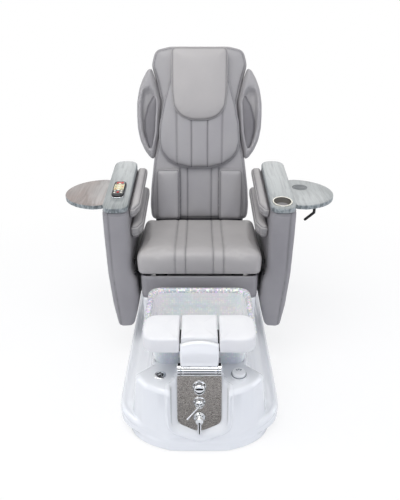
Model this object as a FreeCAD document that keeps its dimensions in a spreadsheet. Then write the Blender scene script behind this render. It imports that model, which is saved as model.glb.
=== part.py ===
"""Pedicure spa chair: a reclining massage chair over a foot bath, as separate pieces.

Millimetres, +Z up, front towards -Y, origin on the floor under the middle of the whole chair.
Places along the chair are given as distances behind the front lip of the base.
"""
import FreeCAD, Part
import math
import os
import re
from types import SimpleNamespace

import Sketcher

Vector = FreeCAD.Vector
doc = FreeCAD.newDocument("pedicure_spa_chair")

# Driving dimensions, kept in the sheet
SIZES = {
    # Whole chair
    "origin_back": 712,         # front lip to the origin
    "running_gap": 0.5,         # between a moving piece and what it runs beside
    # Base shell, moulded in glass-fibre
    "shell_wall": 6,
    "lip_half_width": 342,
    "lip_front_height": 62,
    "lip_side_height": 112,
    "lip_band": 34,             # height of the rolled edge
    "plinth_inset": 40,         # how far the plinth stands in from the lip at the sides
    "base_length": 1190,
    "deck_height": 300,
    "deck_bevel": 14,
    "ledge_width": 40,
    "slope_top_half_width": 198,
    "pedestal_gap": 16,         # behind the bowl
    "pedestal_height": 378,
    "pedestal_half_width": 274,
    # Foot bowl
    "bowl_front": 163,
    "bowl_length": 400,
    "bowl_half_width": 237,
    "bowl_rise": 152,           # above the deck
    "bowl_depth": 300,
    "bowl_wall": 6,
    "bowl_rim_width": 26,
    "bowl_rim_thickness": 14,
    "bowl_corner": 66,
    "bowl_side_draw": 46,       # how far each side wall leans in towards the floor of the bowl
    "bowl_front_draw": 16,
    "bowl_back_draw": 46,
    "drain_diameter": 52,
    "drain_pipe_diameter": 40,
    "drain_pipe_height": 68,
    "inlet_diameter": 20.9,     # half-inch pipe thread
    "inlet_height": 82,
    "inlet_side": 70,
    "power_inlet_side": 212,
    "power_inlet_height": 200,
    "panel_width": 330,
    "panel_height": 210,
    "panel_middle_height": 235,
    # Tap plate on the front of the console
    "plate_width": 178,
    "plate_rise": 21,           # its top edge above the deck
    "plate_thickness": 3,
    "plate_lean": 15.5,          # degrees from upright
    "plate_foot_height": 86,
    "plate_foot_depth": 26,     # behind the front lip
    "plate_corner": 52,
    "channel_width": 22,        # opening of the slot round the plate
    "diverter_share": 0.82,     # places of the controls up the plate, as shares of its length
    "mixer_share": 0.55,
    "sprayer_share": 0.27,
    "diverter_diameter": 55,
    "mixer_diameter": 48,
    "sprayer_diameter": 44,
    "spindle_diameter": 22,
    # Deck controls
    "button_side": 160,
    "button_back": 119,
    "button_diameter": 34,
    "button_ring_diameter": 50,
    "button_travel": 3,
    "selector_side": 160,
    "selector_back": 119,
    "selector_diameter": 56,
    "selector_collar_diameter": 68,
    "selector_collar_height": 9,
    # Footrest and its hinge
    "hinge_back": 84,
    "hinge_rise": 62,           # above the deck
    "hinge_barrel_diameter": 38,
    "hinge_length": 172,
    "hinge_cap_length": 13,
    "hinge_pin_diameter": 16,
    "footrest_front": 55,
    "footrest_depth": 172,
    "footrest_rise": 100,       # underside of the pads above the hinge
    "footrest_thickness": 66,
    "footrest_centre_width": 142,
    "footrest_side_width": 143,
    "footrest_gap": 6,
    "footrest_housing_width": 156,
    # Seat, its skirt and slide
    "skirt_gap": 27,            # behind the bowl
    "skirt_height": 117,
    "skirt_wall": 12,
    "seat_front": 578,
    "seat_length": 462,
    "seat_front_half_width": 291,
    "seat_rear_half_width": 292,
    "seat_underside": 498,
    "seat_thickness": 122,
    "seat_fall": 20,            # the seat drops this much to its rear
    "rail_side": 190,
    "rail_width": 36,
    "rail_height": 28,
    "rail_overrun": 65,         # the rails reach this far behind the back's pivot
    "slide_travel": 90,
    # Arms
    "arm_front": 578,
    "arm_length": 500,
    "arm_inner": 318,
    "arm_outer": 430,
    "arm_cap_front_height": 842,
    "arm_cap_rise": 64,
    "arm_cap_thickness": 24,
    "arm_cap_inner": 311,
    "arm_foot_height": 205,
    "arm_foot_inner": 348,
    "arm_foot_outer": 392,
    "pad_inner": 268,
    "upper_pad_thickness": 52,
    "lower_pad_thickness": 68,
    "forearm_slot": 42,         # between the two pads
    "pad_front": 622,
    "cup_holder_back": 642,
    "cup_holder_diameter": 91,
    "cup_bore_diameter": 78,
    "cup_depth": 62,
    "remote_back": 745,
    "remote_width": 57,
    "remote_length": 149,
    "remote_thickness": 16,
    # Side trays
    "tray_radius": 183,
    "tray_centre_side": 464,
    "tray_centre_back": 847,
    "tray_inner_side": 440,
    "tray_top": 820,
    "tray_thickness": 19,
    "tray_post_diameter": 24,
    # Backrest; places up its face are measured along its lean from the face foot
    "back_lean": 13.5,
    "back_foot_back": 1043,
    "back_foot_height": 600,
    "back_cushion_thickness": 108,
    "back_shell_depth": 204,
    "back_shell_wall": 4,
    "pivot_back": 1085,
    "pivot_height": 545,
    "pivot_diameter": 20,
    "recline_travel": 28,       # degrees
}

sheet = doc.addObject("Spreadsheet::Sheet", "sizes")
for row, (alias, value) in enumerate(SIZES.items(), start=1):
    sheet.set(f"A{row}", alias)
    sheet.set(f"B{row}", str(value))
    sheet.setAlias(f"B{row}", alias)
doc.recompute()
s = SimpleNamespace(**{alias: float(sheet.get(alias)) for alias in SIZES})

pieces = []


# Helpers
def depth(distance_behind_lip):
    """Y of a place given as its distance behind the front lip."""
    return distance_behind_lip - s.origin_back


def linked(text):
    """An expression on the sheet's cells, from plain alias names."""
    return re.sub(r"[a-z]+(?:_[a-z]+)+", lambda word: "sizes." + word.group(), str(text))


def keep(item, label):
    """Give a finished sub-part its name and list it for writing."""
    item.Label = label
    pieces.append(item)
    return item


def shaped(label, shape, placement=None):
    """A sub-part whose shape is worked out here from the sheet's sizes."""
    item = doc.addObject("Part::Feature", label)
    item.Shape = shape
    if placement:
        item.Placement = placement
    return keep(item, label)


def block(name, spans, corner):
    """A box bound to the sheet; spans are expressions, corner is its least X, Y and Z."""
    item = doc.addObject("Part::Box", name)
    for side, text in zip(("Length", "Width", "Height"), spans):
        item.setExpression(side, linked(text))
    item.Placement.Base = Vector(*corner)
    return item


def rod(name, diameter, length, start, direction=(0, 0, 1)):
    """A cylinder bound to the sheet, from start along direction."""
    item = doc.addObject("Part::Cylinder", name)
    item.setExpression("Radius", linked(f"({diameter}) / 2"))
    item.setExpression("Height", linked(length))
    turn = FreeCAD.Rotation(Vector(0, 0, 1), Vector(*direction))
    item.Placement = FreeCAD.Placement(Vector(*start), turn)
    return item


def cut(name, base, tool):
    item = doc.addObject("Part::Cut", name)
    item.Base = base
    item.Tool = tool
    return item


def fuse(name, *shapes):
    item = doc.addObject("Part::MultiFuse", name)
    item.Shapes = list(shapes)
    return item


def new_body(label):
    return doc.addObject("PartDesign::Body", label)


def new_sketch(body, plane, name, height="0"):
    """A sketch on one of the body's own origin planes, lifted by an expression."""
    sketch = body.newObject("Sketcher::SketchObject", name)
    support = [item for item in body.Origin.OriginFeatures if item.Role == plane][0]
    sketch.AttachmentSupport = [(support, "")]
    sketch.MapMode = "FlatFace"
    sketch.setExpression("AttachmentOffset.Base.z", linked(height))
    return sketch


def circle_in(sketch, diameter, across=0.0, along=0.0):
    """A circle whose diameter is bound to the sheet, at a fixed centre."""
    index = sketch.addGeometry(Part.Circle(Vector(across, along, 0), Vector(0, 0, 1), 10), False)
    size = sketch.addConstraint(Sketcher.Constraint("Diameter", index, 20))
    sketch.setExpression(f"Constraints[{size}]", linked(diameter))
    for kind, value in (("DistanceX", across), ("DistanceY", along)):
        if abs(value) > 1e-9:
            sketch.addConstraint(Sketcher.Constraint(kind, -1, 1, index, 3, value))
        else:
            axis = -2 if kind == "DistanceX" else -1
            sketch.addConstraint(Sketcher.Constraint("PointOnObject", index, 3, axis))


def outline_in(sketch, points):
    """A closed line through points, each corner held at its place."""
    corners = [Vector(across, along, 0) for across, along in points]
    count = len(corners)
    for index, corner in enumerate(corners):
        following = corners[(index + 1) % count]
        sketch.addGeometry(Part.LineSegment(corner, following), False)
    for index in range(count):
        following = (index + 1) % count
        sketch.addConstraint(Sketcher.Constraint("Coincident", index, 2, following, 1))
    for index in range(count):
        sketch.addConstraint(Sketcher.Constraint("Block", index))


def rectangle_in(sketch, width, height):
    """A rectangle centred on the sketch's origin, both sides bound to the sheet."""
    corners = [Vector(-5, -5, 0), Vector(5, -5, 0), Vector(5, 5, 0), Vector(-5, 5, 0)]
    for index in range(4):
        sketch.addGeometry(Part.LineSegment(corners[index], corners[(index + 1) % 4]), False)
    for index in range(4):
        sketch.addConstraint(Sketcher.Constraint("Coincident", index, 2, (index + 1) % 4, 1))
    for index, kind in enumerate(("Horizontal", "Vertical", "Horizontal", "Vertical")):
        sketch.addConstraint(Sketcher.Constraint(kind, index))
    sketch.addConstraint(Sketcher.Constraint("Symmetric", 0, 1, 2, 1, -1, 1))
    wide = sketch.addConstraint(Sketcher.Constraint("DistanceX", 0, 1, 0, 2, 10))
    sketch.setExpression(f"Constraints[{wide}]", linked(width))
    tall = sketch.addConstraint(Sketcher.Constraint("DistanceY", 1, 1, 1, 2, 10))
    sketch.setExpression(f"Constraints[{tall}]", linked(height))


def pad_from(body, sketch, length, name, reverse=False):
    item = body.newObject("PartDesign::Pad", name)
    item.Profile = sketch
    item.setExpression("Length", linked(length))
    item.Reversed = reverse
    return item


def pocket_from(body, sketch, name, through=True, length="1", reverse=False):
    item = body.newObject("PartDesign::Pocket", name)
    item.Profile = sketch
    item.Reversed = reverse
    if through:
        item.Type = 1
    else:
        item.setExpression("Length", linked(length))
    return item


# Outlines for the moulded and upholstered pieces
def inset_corner(before, corner, after, inset):
    """A polygon corner moved inwards by inset from both of its sides, for a left-turning outline."""
    first = Vector(corner[0] - before[0], corner[1] - before[1], 0).normalize()
    second = Vector(after[0] - corner[0], after[1] - corner[1], 0).normalize()
    first_in = Vector(-first.y, first.x, 0)
    second_in = Vector(-second.y, second.x, 0)
    share = inset / (1 + first_in.dot(second_in))
    return (corner[0] + share * (first_in.x + second_in.x), corner[1] + share * (first_in.y + second_in.y))


def rounded_outline(points, inset=0.0):
    """Corners (across, along, radius) running left about, as a closed list of edges in XY."""
    count = len(points)
    corners = []
    for index, (across, along, radius) in enumerate(points):
        before = points[index - 1]
        after = points[(index + 1) % count]
        place = inset_corner(before, (across, along), after, inset)
        into = Vector(across - before[0], along - before[1], 0)
        out = Vector(after[0] - across, after[1] - along, 0)
        bulge = 1 if into.cross(out).z > 0 else -1
        corners.append((Vector(place[0], place[1], 0), max(radius - bulge * inset, 1.0)))
    stops = []
    for index, (corner, radius) in enumerate(corners):
        back = (corners[index - 1][0] - corner).normalize()
        ahead = (corners[(index + 1) % count][0] - corner).normalize()
        half = back.getAngle(ahead) / 2
        reach = radius / math.tan(half)
        start = corner + back * reach
        end = corner + ahead * reach
        middle = corner + (back + ahead).normalize() * (radius / math.sin(half) - radius)
        stops.append((start, middle, end))
    edges = []
    for index, (start, middle, end) in enumerate(stops):
        edges.append(Part.Arc(start, middle, end).toShape())
        edges.append(Part.LineSegment(end, stops[(index + 1) % count][0]).toShape())
    return edges


def section(points, level, inset=0.0):
    """A closed wire of a rounded outline, lying flat at a level."""
    wire = Part.Wire(rounded_outline(points, inset))
    wire.translate(Vector(0, 0, level))
    return wire


def prism(points, low, high, inset=0.0):
    """A straight-sided solid of a rounded outline between two levels."""
    return Part.Face(section(points, low, inset)).extrude(Vector(0, 0, high - low))


def ring(points, level, inset=0.0, steps=4):
    """The same outline as a closed run of corners, each round one stepped."""
    corners = []
    for index, edge in enumerate(rounded_outline(points, inset)):
        if index % 2 == 0:
            span = edge.LastParameter - edge.FirstParameter
            for step in range(steps + 1):
                place = edge.valueAt(edge.FirstParameter + span * step / steps)
                corners.append(Vector(place.x, place.y, level))
    return corners


def faceted(rings):
    """A solid with flat faces through rings of corners, from the lowest to the highest."""
    faces = [Part.Face(Part.makePolygon(corners + corners[:1])) for corners in (rings[0], rings[-1])]
    for lower, upper in zip(rings, rings[1:]):
        for index in range(len(lower)):
            following = (index + 1) % len(lower)
            first, second, third, fourth = lower[index], lower[following], upper[following], upper[index]
            normal = (second - first).cross(third - first).normalize()
            if abs((fourth - first).dot(normal)) < 1e-7:
                faces.append(Part.Face(Part.makePolygon([first, second, third, fourth, first])))
            else:
                faces.append(Part.Face(Part.makePolygon([first, second, third, first])))
                faces.append(Part.Face(Part.makePolygon([first, third, fourth, first])))
    shell = Part.makeShell(faces)
    shell.sewShape()
    solid = Part.makeSolid(shell)
    if solid.Volume < 0:
        solid.reverse()
    return solid


def lofted(wires, ruled=False):
    return Part.makeLoft(wires, True, ruled)


def mirrored(points):
    """The right half of an outline, front to rear, with its mirror image on the left."""
    left = [(-across, along, radius) for across, along, radius in reversed(points)]
    return list(points) + left


def box_shape(low, high):
    spans = [high[axis] - low[axis] for axis in range(3)]
    return Part.makeBox(spans[0], spans[1], spans[2], Vector(*low))


def cylinder_shape(diameter, length, start, direction=(0, 0, 1)):
    return Part.makeCylinder(diameter / 2, length, Vector(*start), Vector(*direction))


def other_side(shape):
    """The same shape on the other side of the chair."""
    return shape.mirror(Vector(0, 0, 0), Vector(1, 0, 0))


def cushion(points, thickness, crown, draw, spread=1.6, fall=0.0):
    """A stuffed pad on z = 0: its sides drawn in at the seam, its face crowned.

    Its face drops by fall, in degrees, towards the rear.
    """
    levels = [(0, draw), (0.15 * thickness, 0.4 * draw), (0.4 * thickness, 0)]
    for step in range(5):
        angle = math.radians(90 * step / 4)
        levels.append((thickness - crown + crown * math.sin(angle), spread * crown * (1 - math.cos(angle))))
    wires = []
    for height, inset in levels:
        wire = section(points, height, inset)
        wire.rotate(Vector(0, points[0][1], height), Vector(1, 0, 0), -fall * height / thickness)
        wires.append(wire)
    return lofted(wires, True)


# Base shell
# Corners of the front, each as distance in from the side, distance behind the front, radius
LIP_NOSE = ((214, 0, 40), (157, 32, 40), (80, 62, 60), (17, 107, 60), (0, 168, 70))
PLINTH_NOSE = ((187, 2, 40), (150, 12, 40), (93, 33, 40), (25, 81, 60), (0, 137, 60))
CONSOLE_FOOT = ((125, 5, 30), (180, 34, 30), (240, 62, 30), (284, 112, 30), (292, 176, 12), (200, 250, 12))
CONSOLE_TOP = ((110, 12, 30), (165, 31, 30), (215, 59, 30), (256, 108, 20), (262, 134, 14), (176, 214, 12))
plinth_half_width = s.lip_half_width - s.plinth_inset
base_rear = depth(s.base_length)
body_rear = s.base_length - s.ledge_width
hump_half_width = s.plate_width / 2 + 6
hump_back = s.bowl_front + s.bowl_front_draw
pan_floor = 50

lean = math.radians(s.plate_lean)
bowl_top = s.deck_height + s.bowl_rise
bowl_rear = s.bowl_front + s.bowl_length
pedestal_front = bowl_rear + s.pedestal_gap
skirt_front = bowl_rear + s.skirt_gap
hinge_height = s.deck_height + s.hinge_rise
footrest_underside = hinge_height + s.footrest_rise
plate_length = (s.deck_height + s.plate_rise - s.plate_foot_height) / math.cos(lean)
diverter_along = s.diverter_share * plate_length
mixer_along = s.mixer_share * plate_length
sprayer_along = s.sprayer_share * plate_length
plate_origin = Vector(0, depth(s.plate_foot_depth), s.plate_foot_height)
plate_frame = FreeCAD.Placement(plate_origin, FreeCAD.Rotation(Vector(1, 0, 0), 90 - s.plate_lean))
plate_normal = plate_frame.Rotation.multVec(Vector(0, 0, 1))
plate_top_height = s.plate_foot_height + plate_length * math.cos(lean)


def on_plate(along, out=0.0, across=0.0):
    """A place in the chair from one on the tap plate: up the plate, out from its back, across."""
    return plate_frame.multVec(Vector(across, along, out))


def nose_plan(half_width, nose, rear, rear_radius):
    right = [(half_width - inwards, depth(back), radius) for inwards, back, radius in nose]
    return mirrored(right + [(half_width, rear, rear_radius)])


def console_plan(corners):
    return mirrored([(across, depth(back), radius) for across, back, radius in corners])


def rectangle_plan(half_width, front, back, radius):
    return mirrored([(half_width, depth(front), radius), (half_width, depth(back), radius)])


lip_plan = nose_plan(s.lip_half_width, LIP_NOSE, base_rear, 90)
plinth_plan = nose_plan(plinth_half_width, PLINTH_NOSE, base_rear - s.plinth_inset, 60)
slope_foot_plan = rectangle_plan(s.lip_half_width - s.ledge_width, 150, body_rear, 20)
slope_top_plan = rectangle_plan(s.slope_top_half_width, 190, body_rear, 20)
pedestal_plan = rectangle_plan(s.pedestal_half_width, pedestal_front, body_rear, 20)
plate_plan = [(0, 0, 70), (s.plate_width / 2, s.plate_corner * 0.8, s.plate_corner * 0.6),
              (s.plate_width / 2, plate_length, 2), (-s.plate_width / 2, plate_length, 2),
              (-s.plate_width / 2, s.plate_corner * 0.8, s.plate_corner * 0.6)]


def ramp(drop):
    """The space over the lip's top, which climbs from the front to the sides."""
    level = s.lip_side_height - drop
    front_level = s.lip_front_height - drop
    run = 130
    slope = (level - front_level) / run
    points = [(-90, front_level - 90 * slope), (run, level), (run, 900), (-90, 900)]
    wire = Part.makePolygon([Vector(-500, depth(back), height) for back, height in points + points[:1]])
    return Part.Face(wire).extrude(Vector(1000, 0, 0))


def pan(inset):
    """The plinth and the rolled lip above it."""
    top = s.lip_side_height - inset
    waist = s.lip_side_height - s.lip_band
    foot = 0 if inset == 0 else -1
    rings = [
        ring(plinth_plan, foot, inset),
        ring(plinth_plan, s.lip_front_height - 24, inset),
        ring(lip_plan, waist, inset),
        ring(lip_plan, top, inset),
    ]
    return faceted(rings).cut(ramp(inset))


def console(inset):
    """The front block with the level deck."""
    foot = ring(console_plan(CONSOLE_FOOT), pan_floor - inset, inset)
    shoulder = ring(console_plan(CONSOLE_TOP), s.deck_height - s.deck_bevel, inset)
    deck = ring(console_plan(CONSOLE_TOP), s.deck_height - inset, inset + s.deck_bevel * 0.9)
    return faceted([foot, shoulder, deck])


def slopes(inset):
    """The sides that fall from the bowl to the ledge."""
    foot = ring(slope_foot_plan, s.lip_side_height - 20 - inset, inset)
    return faceted([foot, ring(slope_top_plan, s.deck_height - inset, inset)])


def hump(inset):
    """The block behind the tap plate that carries the footrest hinge."""
    low = s.deck_height - 110
    top = plate_top_height - inset
    plan = rectangle_plan(hump_half_width - inset, 20, hump_back, 6)
    block_shape = prism(plan, low, top)
    before = Part.makeBox(400, 400, 200, Vector(-200, -60, s.plate_thickness - inset))
    before.Placement = plate_frame
    return block_shape.cut(before)


def pedestal(inset):
    """The level block under the seat."""
    foot = ring(pedestal_plan, s.lip_side_height - 40 - inset, inset)
    return faceted([foot, ring(pedestal_plan, s.pedestal_height - inset, inset)])


# The foot bowl's outline at any height: its walls lean in towards its floor
bowl_bottom = bowl_top - s.bowl_depth
bowl_rim_overhang = s.bowl_rim_width - s.bowl_wall


def bowl_plan(height):
    share = (bowl_top - height) / s.bowl_depth
    half = s.bowl_half_width - bowl_rim_overhang - share * s.bowl_side_draw
    front = s.bowl_front + bowl_rim_overhang + share * s.bowl_front_draw
    back = s.bowl_front + s.bowl_length - bowl_rim_overhang - share * s.bowl_back_draw
    return rectangle_plan(half, front, back, s.bowl_corner - bowl_rim_overhang - 10 * share)


def bowl_form(low, high, inset):
    return faceted([ring(bowl_plan(low), low, inset, 6), ring(bowl_plan(high), high, inset, 6)])


def plate_recess():
    """The slot in the console that the tap plate lies in, its walls opening towards the front."""
    rings = [
        ring(plate_plan, 0, -s.running_gap),
        ring(plate_plan, s.plate_thickness, -s.running_gap),
        ring(plate_plan, s.channel_width, -s.channel_width),
        ring(plate_plan, 200, -s.channel_width),
    ]
    space = faceted(rings)
    space.Placement = plate_frame
    return space


deck_button = (-s.button_side, depth(s.button_back))
deck_selector = (s.selector_side, depth(s.selector_back))
tap_places = (diverter_along, mixer_along, sprayer_along)


screw_diameter = 4.2
panel_screw_places = [(side * (s.panel_width / 2 - 10),
                       s.panel_middle_height + end * (s.panel_height / 2 - 10))
                      for side in (-1, 1) for end in (-1, 1)]


def base_shell_shape():
    wall = s.shell_wall
    shell = pan(0).fuse([console(0), slopes(0), pedestal(0), hump(0)])
    shell = shell.cut(plate_recess())
    recess_back = plate_recess()
    recess_back.translate(plate_normal * -wall)
    console_space = console(wall).cut(recess_back)
    for space in (pan(wall), slopes(wall), pedestal(wall), console_space, hump(wall)):
        shell = shell.cut(space)
    shell = shell.cut(bowl_form(bowl_bottom - 20, bowl_top + 10, -0.6))
    for along in tap_places:
        start = on_plate(along, -40)
        shell = shell.cut(cylinder_shape(s.spindle_diameter + 8, 60, start, plate_normal))
    deck_cut = s.deck_height - 20
    shell = shell.cut(cylinder_shape(s.button_diameter + 1, 40, (*deck_button, deck_cut)))
    shell = shell.cut(cylinder_shape(s.spindle_diameter + 1, 40, (*deck_selector, deck_cut)))
    rear_start = base_rear - 200
    for side in (-s.inlet_side, s.inlet_side):
        start = (side, rear_start, s.inlet_height)
        shell = shell.cut(cylinder_shape(s.inlet_diameter + 1, 260, start, (0, 1, 0)))
    start = (0, rear_start, s.drain_pipe_height)
    shell = shell.cut(cylinder_shape(s.drain_pipe_diameter + 1, 260, start, (0, 1, 0)))
    half = s.panel_width / 2 - 20
    low = s.panel_middle_height - s.panel_height / 2 + 20
    high = s.panel_middle_height + s.panel_height / 2 - 20
    shell = shell.cut(box_shape((-half, depth(body_rear) - 20, low), (half, depth(body_rear) + 10, high)))
    for side, height in panel_screw_places:
        start = (side, depth(body_rear) - 20, height)
        shell = shell.cut(cylinder_shape(screw_diameter, 30, start, (0, 1, 0)))
    socket_low = (s.power_inlet_side - 24, depth(body_rear) - 20, s.power_inlet_height - 14)
    socket_high = (s.power_inlet_side + 24, depth(body_rear) + 10, s.power_inlet_height + 14)
    return shell.cut(box_shape(socket_low, socket_high))


base_shell = shaped("base_shell", base_shell_shape())


# Steel frame and feet inside the base
tube_low = 14
tube_high = 44
tube_width = 40
rail_tube_side = s.rail_side
upright_top = s.pedestal_height - s.shell_wall
cradle_backs = (s.bowl_front + 72, s.bowl_front + 300)


def base_frame_shape():
    bars = []
    for side in (-1, 1):
        middle = side * (rail_tube_side + 10)
        low = (middle - tube_width / 2, depth(70), tube_low)
        high = (middle + tube_width / 2, depth(body_rear - 40), tube_high)
        bars.append(box_shape(low, high))
        for back in (pedestal_front + 70, body_rear - 80):
            middle_x = side * rail_tube_side
            low = (middle_x - tube_width / 2, depth(back), tube_low)
            bars.append(box_shape(low, (middle_x + tube_width / 2, depth(back + tube_width), upright_top)))
        for back in cradle_backs:
            low = (side * 110 - 15, depth(back) - 15, tube_low)
            bars.append(box_shape(low, (side * 110 + 15, depth(back) + 15, bowl_bottom)))
    reach = rail_tube_side + 10
    for back in (90, cradle_backs[0], cradle_backs[1], pedestal_front + 90, body_rear - 60):
        low = (-reach, depth(back) - tube_width / 2, tube_low)
        bars.append(box_shape(low, (reach, depth(back) + tube_width / 2, tube_high)))
    return bars[0].fuse(bars[1:])


base_frame = shaped("base_frame", base_frame_shape())

feet = []
for side in (-1, 1):
    for back in (100, pedestal_front + 90, body_rear - 70):
        place = (side * (rail_tube_side + 10), depth(back), 0)
        foot = cylinder_shape(46, 8, place).fuse(cylinder_shape(12, tube_low - 8, (place[0], place[1], 8)))
        feet.append(foot)
levelling_feet = shaped("levelling_feet", Part.makeCompound(feet))


# Foot bowl with its drain and jet
bowl_floor = bowl_bottom + s.bowl_wall
bowl_middle = s.bowl_front + s.bowl_length / 2 - 15
jet_height = bowl_bottom + 84
jet_share = (bowl_top - jet_height) / s.bowl_depth
jet_lean = math.degrees(math.atan(s.bowl_back_draw / s.bowl_depth))
jet_back = s.bowl_front + s.bowl_length - bowl_rim_overhang - jet_share * s.bowl_back_draw - s.bowl_wall
jet_frame = FreeCAD.Placement(Vector(0, depth(jet_back), jet_height),
                              FreeCAD.Rotation(Vector(1, 0, 0), 90 - jet_lean))
jet_hole = 78


def in_jet(diameter, low, high, across=0.0, along=0.0):
    """A cylinder on the jet's axis, measured into the bowl from the wall's inner face."""
    shape = cylinder_shape(diameter, high - low, (across, along, low))
    shape.Placement = jet_frame.multiply(shape.Placement)
    return shape


def bowl_shape():
    rim_plan = rectangle_plan(s.bowl_half_width, s.bowl_front, s.bowl_front + s.bowl_length, s.bowl_corner)
    rim = faceted([ring(rim_plan, bowl_top - s.bowl_rim_thickness, 3, 6),
                   ring(rim_plan, bowl_top - s.bowl_rim_thickness + 4, 0, 6),
                   ring(rim_plan, bowl_top - 4, 0, 6),
                   ring(rim_plan, bowl_top, 3, 6)])
    outer = bowl_form(bowl_bottom, bowl_top - 5, 0).fuse(rim)
    inner = bowl_form(bowl_floor, bowl_top + 10, s.bowl_wall)
    hollow = outer.cut(inner)
    hole = cylinder_shape(s.drain_diameter - 12, 40, (0, depth(bowl_middle), bowl_bottom - 10))
    return hollow.cut(hole).cut(in_jet(jet_hole, -20, 20))


bowl = shaped("bowl", bowl_shape())

drain_flange = rod("drain_flange", "drain_diameter", "3", (0, depth(bowl_middle), bowl_floor))
drain_tail_low = s.drain_pipe_height + 42
drain_tail = rod("drain_tail", "drain_diameter - 13", "4", (0, depth(bowl_middle), drain_tail_low))
drain_tail_length = f"deck_height + bowl_rise - bowl_depth + bowl_wall - {drain_tail_low}"
drain_tail.setExpression("Height", linked(drain_tail_length))
bowl_drain = keep(fuse("bowl_drain_body", drain_flange, drain_tail), "bowl_drain")

jet_motor_shape = in_jet(96, -s.bowl_wall - 62, -s.bowl_wall - 0.4)
jet_motor_shape = jet_motor_shape.fuse([in_jet(jet_hole - 1, -s.bowl_wall - 0.4, 2), in_jet(8, 2, 12)])
jet_motor = shaped("jet_motor", jet_motor_shape)

impeller = in_jet(24, 3, 12)
for step in range(5):
    blade = Part.makeBox(20, 2.4, 8, Vector(9, -1.2, 3.5))
    blade.rotate(Vector(0, 0, 0), Vector(0, 0, 1), step * 72)
    blade.Placement = jet_frame.multiply(blade.Placement)
    impeller = impeller.fuse(blade)
jet_impeller = shaped("jet_impeller", impeller.cut(in_jet(8.6, 2, 14)))

cover = in_jet(98, 0, 19).cut(in_jet(86, -1, 15))
for step in range(8):
    angle = math.radians(step * 45)
    cover = cover.cut(in_jet(15, 10, 25, 28 * math.cos(angle), 28 * math.sin(angle)))
jet_cover = shaped("jet_cover", cover)


# Waste pump and the pipes through the rear
pump_front = bowl_middle - 55
pump = rod("pump_barrel", "84", "120", (0, depth(pump_front), s.drain_pipe_height), (0, 1, 0))
pad_front = cradle_backs[0] + tube_width / 2
pad_span = cradle_backs[1] - cradle_backs[0] - tube_width
pump_pad = block("pump_pad", ("60", pad_span, "20"), (-30, depth(pad_front), tube_low))
pipe_start = pump_front + 119
outlet_pipe = rod("outlet_pipe", "drain_pipe_diameter", f"base_length + 24 - {pipe_start}",
                  (0, depth(pipe_start), s.drain_pipe_height), (0, 1, 0))
outlet_collar = rod("outlet_collar", "drain_pipe_diameter + 12", "3.7",
                    (0, depth(s.base_length + 0.3), s.drain_pipe_height), (0, 1, 0))
drain_pump = keep(fuse("drain_pump_body", pump, pump_pad, outlet_pipe, outlet_collar), "drain_pump")

rear_wall = depth(body_rear)
hose_turn = 60


def hose(side):
    """A supply pipe from the rear inlet under the bowl and up to the valve block."""
    start = Vector(side, depth(s.base_length + 22), s.inlet_height)
    corner = Vector(side, depth(126), s.inlet_height)
    end = Vector(side, depth(126), s.plate_foot_height + mixer_along * math.cos(lean) - 30)
    bend_start = corner + Vector(0, hose_turn, 0)
    bend_end = corner + Vector(0, 0, hose_turn)
    middle = corner + Vector(0, hose_turn, hose_turn) * (1 - math.sqrt(0.5))
    path = Part.Wire([Part.LineSegment(start, bend_start).toShape(),
                      Part.Arc(bend_start, middle, bend_end).toShape(),
                      Part.LineSegment(bend_end, end).toShape()])
    ring_wire = Part.Wire([Part.makeCircle(s.inlet_diameter / 2, start, Vector(0, 1, 0))])
    pipe = path.makePipeShell([ring_wire], True, False)
    collar_start = (side, depth(s.base_length + 0.3), s.inlet_height)
    return pipe.fuse(cylinder_shape(s.inlet_diameter + 10, 3.7, collar_start, (0, 1, 0)))


supply_pipes = shaped("supply_pipes", Part.makeCompound([hose(-s.inlet_side), hose(s.inlet_side)]))

panel_body = new_body("access_panel")
panel_sketch = new_sketch(panel_body, "XZ_Plane", "panel_outline")
rectangle_in(panel_sketch, "panel_width", "panel_height")
pad_from(panel_body, panel_sketch, "4", "panel_sheet", True)
panel_holes = new_sketch(panel_body, "XZ_Plane", "panel_screw_holes")
for side, height in panel_screw_places:
    circle_in(panel_holes, str(screw_diameter + 0.4), side, height - s.panel_middle_height)
pocket_from(panel_body, panel_holes, "panel_drilling").Midplane = True
panel_body.Placement.Base = Vector(0, rear_wall, s.panel_middle_height)
access_panel = keep(panel_body, "access_panel")

screws = []
for side, height in panel_screw_places:
    head = cylinder_shape(9, 3, (side, rear_wall + 4, height), (0, 1, 0))
    shank = cylinder_shape(screw_diameter - 0.2, 16, (side, rear_wall - 12, height), (0, 1, 0))
    screws.append(head.fuse(shank))
panel_screws = shaped("panel_screws", Part.makeCompound(screws))

socket_flange = block("socket_flange", ("56", "3", "34"),
                      (s.power_inlet_side - 28, rear_wall, s.power_inlet_height - 17))
socket_case = block("socket_case", ("47", "24", "27"),
                    (s.power_inlet_side - 23.5, rear_wall - 24, s.power_inlet_height - 13.5))
socket_recess = block("socket_recess", ("27", "16", "19"),
                      (s.power_inlet_side - 13.5, rear_wall - 13, s.power_inlet_height - 9.5))
socket_solid = fuse("socket_solid", socket_flange, socket_case)
power_inlet = keep(cut("power_inlet_body", socket_solid, socket_recess), "power_inlet")


# Tap plate
plate_body = new_body("control_plate")
plate_sketch = new_sketch(plate_body, "XY_Plane", "plate_outline")
outline_in(plate_sketch, [(place.x, place.y) for place in ring(plate_plan, 0)])
pad_from(plate_body, plate_sketch, "plate_thickness", "plate_sheet")
plate_holes = new_sketch(plate_body, "XY_Plane", "plate_tap_holes")
for along in tap_places:
    circle_in(plate_holes, "spindle_diameter + 1", 0, along)
pocket_from(plate_body, plate_holes, "plate_drilling").Midplane = True
plate_body.Placement = plate_frame
control_plate = keep(plate_body, "control_plate")


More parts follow.
